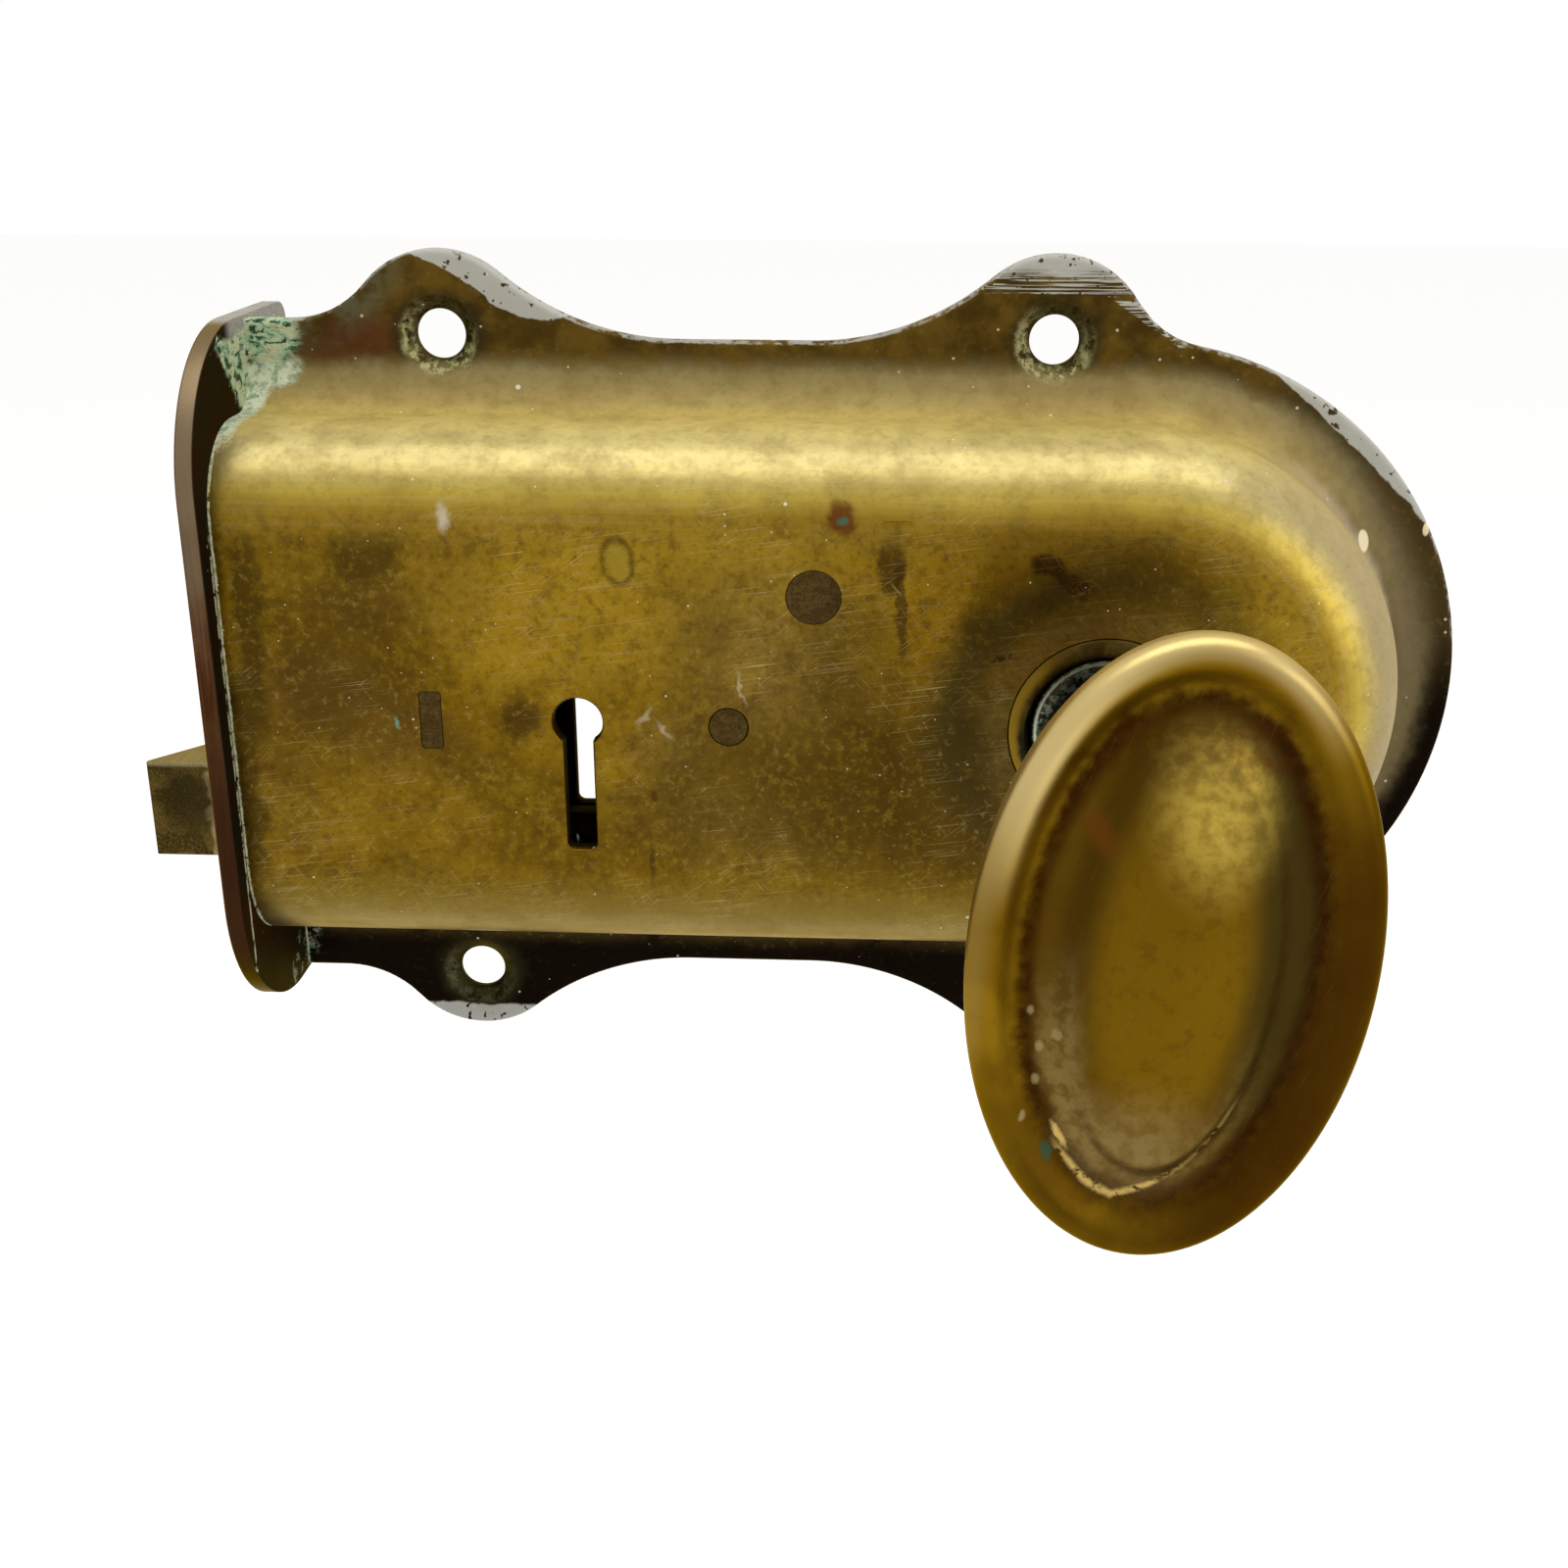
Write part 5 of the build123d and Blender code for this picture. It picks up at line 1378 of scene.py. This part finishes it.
def knob_rule():
    """The five stretches are a flat disc behind, the flare, the rim, the dish and the boss's dome."""
    r = Rule("oval knob", list(knob_sizes), whole=("Around", "Rings"))
    grid, angle, share = r.wrapped(r.given("Around"), r.given("Rings"))
    disc, flare, rim, dish, dome = [r.stretch(share, 5, index) for index in range(5)]
    right_angle = math.pi / 2
    spread = r.maths("SINE", flare * right_angle) ** 2.0
    outer, inner = r.fade(rim, 0.0, 0.5), r.fade(rim, 0.5, 1.0)
    roll = (1 - r.maths("COSINE", outer * right_angle)) * 0.30 + inner * 0.70
    flank = r.smooth(r.fade(dish, 0.3, 1.0))
    crown = r.smooth(r.fade(dish, 0.5, 1.0) * 0.28 + dome * 0.72)
    neck, width, height = r.given("Neck radius"), r.given("Half width"), r.given("Half height")
    rim_width = r.given("Rim width")
    boss_width, boss_height = r.given("Boss half width"), r.given("Boss half height")
    across = neck * disc + (width - neck) * spread - rim_width * roll
    across = across - (width - rim_width - boss_width) * dish - boss_width * dome
    tall = neck * disc + (height - neck) * spread - rim_width * roll
    tall = tall - (height - rim_width - boss_height) * dish - boss_height * dome
    back, front = r.given("Back depth"), r.given("Rim depth")
    depth = back + (front - back) * (1 - r.maths("COSINE", flare * right_angle))
    depth = depth + r.given("Rim rise") * r.maths("SINE", outer * right_angle) * (1 - r.smooth(inner))
    groove = r.smooth(r.fade(rim, 0.6, 1.0)) * (1 - r.smooth(r.fade(dish, 0.0, 0.7)))
    depth = depth - r.given("Groove dip") * groove
    depth = depth + r.given("Boss rise") * flank + r.given("Crown") * crown
    u, w = across * r.maths("COSINE", angle), tall * r.maths("SINE", angle)
    lean = r.given("Lean") * (math.pi / 180)
    cosine, sine = r.maths("COSINE", lean), r.maths("SINE", lean)
    place = r.xyz(r.given("Across") + u * cosine + w * sine, 0.0 - depth, w * cosine - u * sine)
    r.end(r.add("GeometryNodeSetPosition", None, {"Geometry": grid, "Position": place}), 0.002)
    return r


knob_mesh = knob_rule().run(bpy.data.meshes.new("seed"), knob_sizes, finishes["knob"])
settle("oval_knob", knob_mesh, "knob", "knob_and_follower", "knob")

# %% [markdown]
# ## Screws
#
# The two screws in the forend and the four in the back plate differ only in size. Their places come in as
# loose points that each carry the direction in which the screw's head looks. The rule makes one screw,
# cuts its slot, sets a copy on every point, and turns each by a random angle with a fixed seed, because
# nobody lines up the slots of a lock.


# %% Screw rule
forend_sizes = {
    "Head radius": 2.88, "Head height": 1.4, "Shank radius": 1.5, "Length": 7.5, "Ridge": 0.3,
    "Turns": 9.0, "Slot width": 0.8, "Slot depth": 0.7, "Seed": 4,
}
plate_sizes = {
    "Head radius": 2.18, "Head height": 1.0, "Shank radius": 1.2, "Length": 8.0, "Ridge": 0.25,
    "Turns": 11.0, "Slot width": 0.8, "Slot depth": 0.6, "Seed": 9,
}


def screw_rule():
    """The four stretches are the head's top, its cone, the shank and the tip. A box cuts the slot."""
    r = Rule("slotted screws", list(forend_sizes), whole=("Seed",))
    grid, angle, share = r.wrapped(33, 100)
    top, cone, shank, tip = [r.stretch(share, 4, index) for index in range(4)]
    head, thin, ridge = r.given("Head radius"), r.given("Shank radius"), r.given("Ridge")
    wave = r.maths("PINGPONG", shank * r.given("Turns"), 0.5) * 2.0
    inside = r.maths("LESS_THAN", 0.001, shank) * r.maths("LESS_THAN", shank, 0.999)
    radius = head * top - (head - thin) * cone - ridge * wave * inside - thin * tip
    tall = r.given("Head height")
    low = 0.12 * (top**4.0) + tall * cone + (r.given("Length") - tall - 0.5) * shank + 0.35 * tip
    place = r.xyz(radius * r.maths("COSINE", angle), radius * r.maths("SINE", angle), 0.0 - low)
    body = r.add("GeometryNodeSetPosition", None, {"Geometry": grid, "Position": place})
    closed = r.add("GeometryNodeMergeByDistance", None, {"Geometry": body, "Distance": 0.002})
    size = r.xyz(head * 3.0, r.given("Slot width"), r.given("Slot depth") * 2.0)
    knife = r.add("GeometryNodeMeshCube", None, {"Size": size})
    slotted = r.add("GeometryNodeMeshBoolean", {"operation": "DIFFERENCE"}, {0: closed, 1: knife})
    facing = r.add("GeometryNodeInputNamedAttribute", {"data_type": "FLOAT_VECTOR"}, {"Name": "facing"})
    look = r.add("FunctionNodeAlignRotationToVector", {"axis": "Z"}, {"Vector": facing})
    turns = {2: 0.0, 3: math.pi, "Seed": r.given("Seed")}
    turn = r.add("FunctionNodeRandomValue", {"data_type": "FLOAT"}, turns, 1)
    spin = r.add("FunctionNodeEulerToRotation", None, {0: r.xyz(0.0, 0.0, turn)})
    look = r.add("FunctionNodeRotateRotation", {"rotation_space": "LOCAL"}, {0: look, 1: spin})
    values = {"Points": r.given("Geometry"), "Instance": slotted, "Rotation": look}
    r.end(r.add("GeometryNodeInstanceOnPoints", None, values), 0.0005)
    return r


def screw_seats(places, facing):
    """Loose points for the screws to stand on, each with the direction in which its head looks."""
    mesh = bpy.data.meshes.new("seats")
    mesh.from_pydata(places, [], [])
    seats = mesh.attributes.new("facing", "FLOAT_VECTOR", "POINT")
    for point in seats.data:
        point.vector = facing
    return mesh


screws = screw_rule()
forend_places = [(-63.3, -9.5, RISE + side * 27.6) for side in (-1, 1)]
plate_places = [(-49.0, 0.0, 27.0), (62.0, 0.0, 8.0), (60.0, 0.0, -12.0), (-0.85, 0.0, -0.2)]
sets = [
    ("forend_screw_pair", "forend_screws", forend_places, (-1.0, 0.0, 0.0), forend_sizes),
    ("back_screw_set", "back_plate_screws", plate_places, (0.0, 1.0, 0.0), plate_sizes),
]
for name, node, places, facing, sizes in sets:
    made = screws.run(screw_seats(places, facing), sizes, finishes["screws"])
    settle(name, made, "screws", "lock_case", node)

# %% [markdown]
# ## The neck and the bush
#
# Both are turned pieces, so each is a list of radii and depths. The neck has a small bead where it meets
# the follower and faint tool rings, and it flares into the knob. The bush is a plain ring, flush with the
# case, whose inner lip is rounded by wear. It is this lip that catches the light round the follower.

# %% Neck and bush
neck_rings = [(0.0, 27.5), (6.6, 27.5)] + quarter((7.0, 28.1), 0.6, -90, 90, 12)
neck_rings += [(6.85, 29.1), (6.85, 29.5), (7.0, 29.8)]
for middle in (33.5, 40.0, 46.0):
    neck_rings += [(7.0, middle - 0.25), (6.93, middle), (7.0, middle + 0.25)]
flare = [step / 12 for step in range(13)]
neck_rings += [(7.0 + 2.0 * share**1.6, 52.0 + 14.0 * share) for share in flare] + [(0.0, 66.0)]
neck = turned(neck_rings, SPINDLE_X, 0.0, 96)
settle("turned_neck", mesh_of(neck, "neck", MM), "knob", "knob_and_follower", "knob_neck")

BUSH_R, LIP = 9.08, 0.65
bush_rings = [(BUSH_R, 17.1), (BUSH_R, 20.35)]
for degrees in (20, 40, 60, 80, 90):
    a = math.radians(degrees)
    bush_rings.append((BUSH_R + LIP * (1 - math.cos(a)), 20.35 + LIP * math.sin(a)))
bush_rings += [(11.2, 21.0), (11.42, 20.92), (11.5, 20.75), (11.5, 17.1), (11.4, 17.0), (9.2, 17.0)]
bush = turned(bush_rings, SPINDLE_X, 0.0, 96, ring=True)
settle("bush_ring", mesh_of(bush, "bush", MM), "bush", "lock_case", "hub_bush")

# %% [markdown]
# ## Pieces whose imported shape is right
#
# The forend, the bolts, the follower, the levers and the other flat or square pieces have the right shape
# already, but their edges are knife-sharp, as no worn metal is. A copy of such a node is merged, its flat
# faces are made whole, and its sharp edges are rounded by a small bevel. The node itself isn't touched.
# Two stumps end flush with the front and were filed with it, so they share the case's finish, and their
# bevel has no width, which leaves no groove round them.


# %% Worn copies
def worn_copy(name, node, slot, width):
    """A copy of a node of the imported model, with its sharp edges rounded off, unless the width is 0."""
    bm = bmesh.new()
    bm.from_mesh(frame["nodes"][node].data)
    bmesh.ops.remove_doubles(bm, verts=bm.verts, dist=2e-6)
    bmesh.ops.dissolve_limit(bm, angle_limit=math.radians(0.5), verts=bm.verts, edges=bm.edges)
    sharp = [e for e in bm.edges if e.is_manifold and e.calc_face_angle(0.0) > math.radians(30.0)]
    if width:
        size = {"offset": width * MM, "segments": 3 if width > 0.3 else 2, "profile": 0.6}
        bmesh.ops.bevel(bm, geom=sharp, affect="EDGES", clamp_overlap=True, **size)
    return settle(name, mesh_of(bm, name), slot, body_of(node), node)


worn = [
    ("worn_forend", "forend_plate", "forend", 0.35), ("worn_latch_bolt", "latch_bolt", "bolts", 0.16),
    ("worn_dead_bolt", "dead_bolt", "bolts", 0.16), ("worn_bolt_stump", "dead_bolt_stump", "bolts", 0.15),
    ("worn_follower", "follower", "follower", 0.14), ("worn_spindle", "spindle", "spindle", 0.12),
    ("worn_back_plate", "back_plate", "back_plate", 0.15),
    ("worn_grub_screw", "knob_grub_screw", "spindle", 0.08),
]
alike = [
    (("lever_pivot", "cap_pillar", "bolt_fence"), "stumps", 0.12),
    (("spring_stump", "follower_stop"), "case", 0.0),
    (("latch_guide_pin", "latch_spring_seat"), "stumps", 0.1),
    (("lever_1", "lever_2", "lever_3"), "levers", 0.1),
]
for nodes, slot, width in alike:
    worn += [("worn_" + node, node, slot, width) for node in nodes]
for row in worn:
    worn_copy(*row)

# %% [markdown]
# The latch's spring is pressed towards its seat when the latch is drawn back. How short it gets follows
# from the record: the travel of the latch, and where the spring's fixed end lies. The levers' springs and
# the rod in the latch's spring only get the steel's finish.

# %% Springs
slide = next(joint for joint in frame["record"]["behaviour"]["joints"] if joint["name"] == "latch_slide")
seat_x = slide["deforming_nodes"][0]["fixed_end_x_m"]
spring_length = seat_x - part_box("latch_spring")[0][0]
keep = 1 - slide["range_m"][1] / spring_length
coil = worn_copy("wound_latch_spring", "latch_spring", "springs", 0.0)
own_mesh(coil)
for node in ("latch_spring_rod", "lever_spring_1", "lever_spring_2", "lever_spring_3"):
    for place in frame["nodes"][node].material_slots:
        place.material = finishes["springs"]
print("the latch's spring", round(spring_length / MM, 1), "mm long, is pressed to", round(keep, 3), "of that")

# %% [markdown]
# ## Light, floor and background
#
# The lock is shown on white, so the floor and the world are white to the camera and to whatever mirrors
# them, which is what the brass shows. For all other rays the floor is plain and the world gives a soft fill,
# a little weaker than what is seen. The floor's own glow makes up what its shading lacks of white, and it
# lies below the lock and keeps its shadow. One broad lamp above and in front draws the long highlight on
# the upper shoulder and the rim of the knob, and a weaker one from the right fills the round end.

# %% Floor and world
WHITE, FLOOR_GREY = (1.0, 1.0, 1.0, 1.0), (0.8, 0.8, 0.8, 1.0)
FILL, FILL_POWER, GLOW = (1.0, 0.99, 0.97, 1.0), 0.8, 0.34
FLOOR_HALF, FLOOR_LEVEL = 3.0, -0.20


def white_to_the_eye(bench):
    """1 for rays of the camera and for mirrored and transmitted ones."""
    rays = ("Is Camera Ray", "Is Glossy Ray", "Is Transmission Ray")
    kinds = [bench.add("ShaderNodeLightPath", None, None, name) for name in rays]
    return bench.maths("MINIMUM", kinds[0] + kinds[1] + kinds[2], 1.0)


def empty_bench(owner):
    """A bench for the nodes of a material or a world, with nothing on it yet."""
    owner.use_nodes = True
    owner.node_tree.nodes.clear()
    return Bench(owner.node_tree)


def floor_finish():
    """Matt and pale, with a glow that only the eye and mirrors see."""
    material = bpy.data.materials.new("pale_floor")
    bench = empty_bench(material)
    matt = bench.add("ShaderNodeBsdfDiffuse", None, {"Color": FLOOR_GREY})
    glow = bench.add("ShaderNodeEmission", None, {"Color": WHITE, "Strength": GLOW})
    lit = bench.add("ShaderNodeAddShader", None, {0: matt, 1: glow})
    seen = bench.add("ShaderNodeMixShader", None, {0: white_to_the_eye(bench), 1: matt, 2: lit})
    bench.add("ShaderNodeOutputMaterial", None, {"Surface": seen})
    return material


def floor_sheet():
    """One flat sheet under the lock, which is only for the picture."""
    bm = bmesh.new()
    level = Matrix.Translation((0.0, 0.0, FLOOR_LEVEL))
    bmesh.ops.create_grid(bm, x_segments=1, y_segments=1, size=FLOOR_HALF, matrix=level)
    mesh = mesh_of(bm, "floor")
    mesh.materials.append(floor_finish())
    sheet = bpy.data.objects.new("floor", mesh)
    bpy.context.scene.collection.objects.link(sheet)
    sheet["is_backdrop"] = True


def white_world():
    """White to the eye and to mirrors, and a slightly warm fill for everything else."""
    world = bpy.data.worlds.new("white_room")
    bpy.context.scene.world = world
    bench = empty_bench(world)
    seen = bench.add("ShaderNodeBackground", None, {"Color": WHITE, "Strength": 1.0})
    fill = bench.add("ShaderNodeBackground", None, {"Color": FILL, "Strength": FILL_POWER})
    mixed = bench.add("ShaderNodeMixShader", None, {0: white_to_the_eye(bench), 1: fill, 2: seen})
    bench.add("ShaderNodeOutputWorld", None, {"Surface": mixed})


floor_sheet()
white_world()
print("floor and world are white")


# %% Lamps
def soft_lamp(name, place, target, size, power, tone):
    """A broad soft lamp at a place, turned to look at a target."""
    data = bpy.data.lights.new(name, "AREA")
    data.shape, data.size, data.size_y = "RECTANGLE", size[0], size[1]
    data.energy, data.color = power, tone
    lamp = bpy.data.objects.new(name, data)
    way = Vector(target) - Vector(place)
    lamp.matrix_world = Matrix.Translation(Vector(place)) @ way.to_track_quat("-Z", "Y").to_matrix().to_4x4()
    bpy.context.scene.collection.objects.link(lamp)


soft_lamp("window_above", (0.02, -0.10, 0.62), (0.01, 0.0, 0.0), (0.85, 0.42), 2.2, (1.0, 0.985, 0.95))
soft_lamp("fill_right", (0.55, -0.30, 0.15), (0.03, 0.0, 0.0), (0.45, 0.45), 0.8, (1.0, 0.99, 0.97))
bpy.context.scene.view_settings.view_transform = "Standard"
print("two lamps")

# %% Boxes of the frame and of the dressed scene
visual_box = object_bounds()
plain_boxes = [[list(corner) for corner in box] for box in (cad_box, visual_box)]
print("packed box", plain_boxes[0])
print("dressed box", plain_boxes[1])
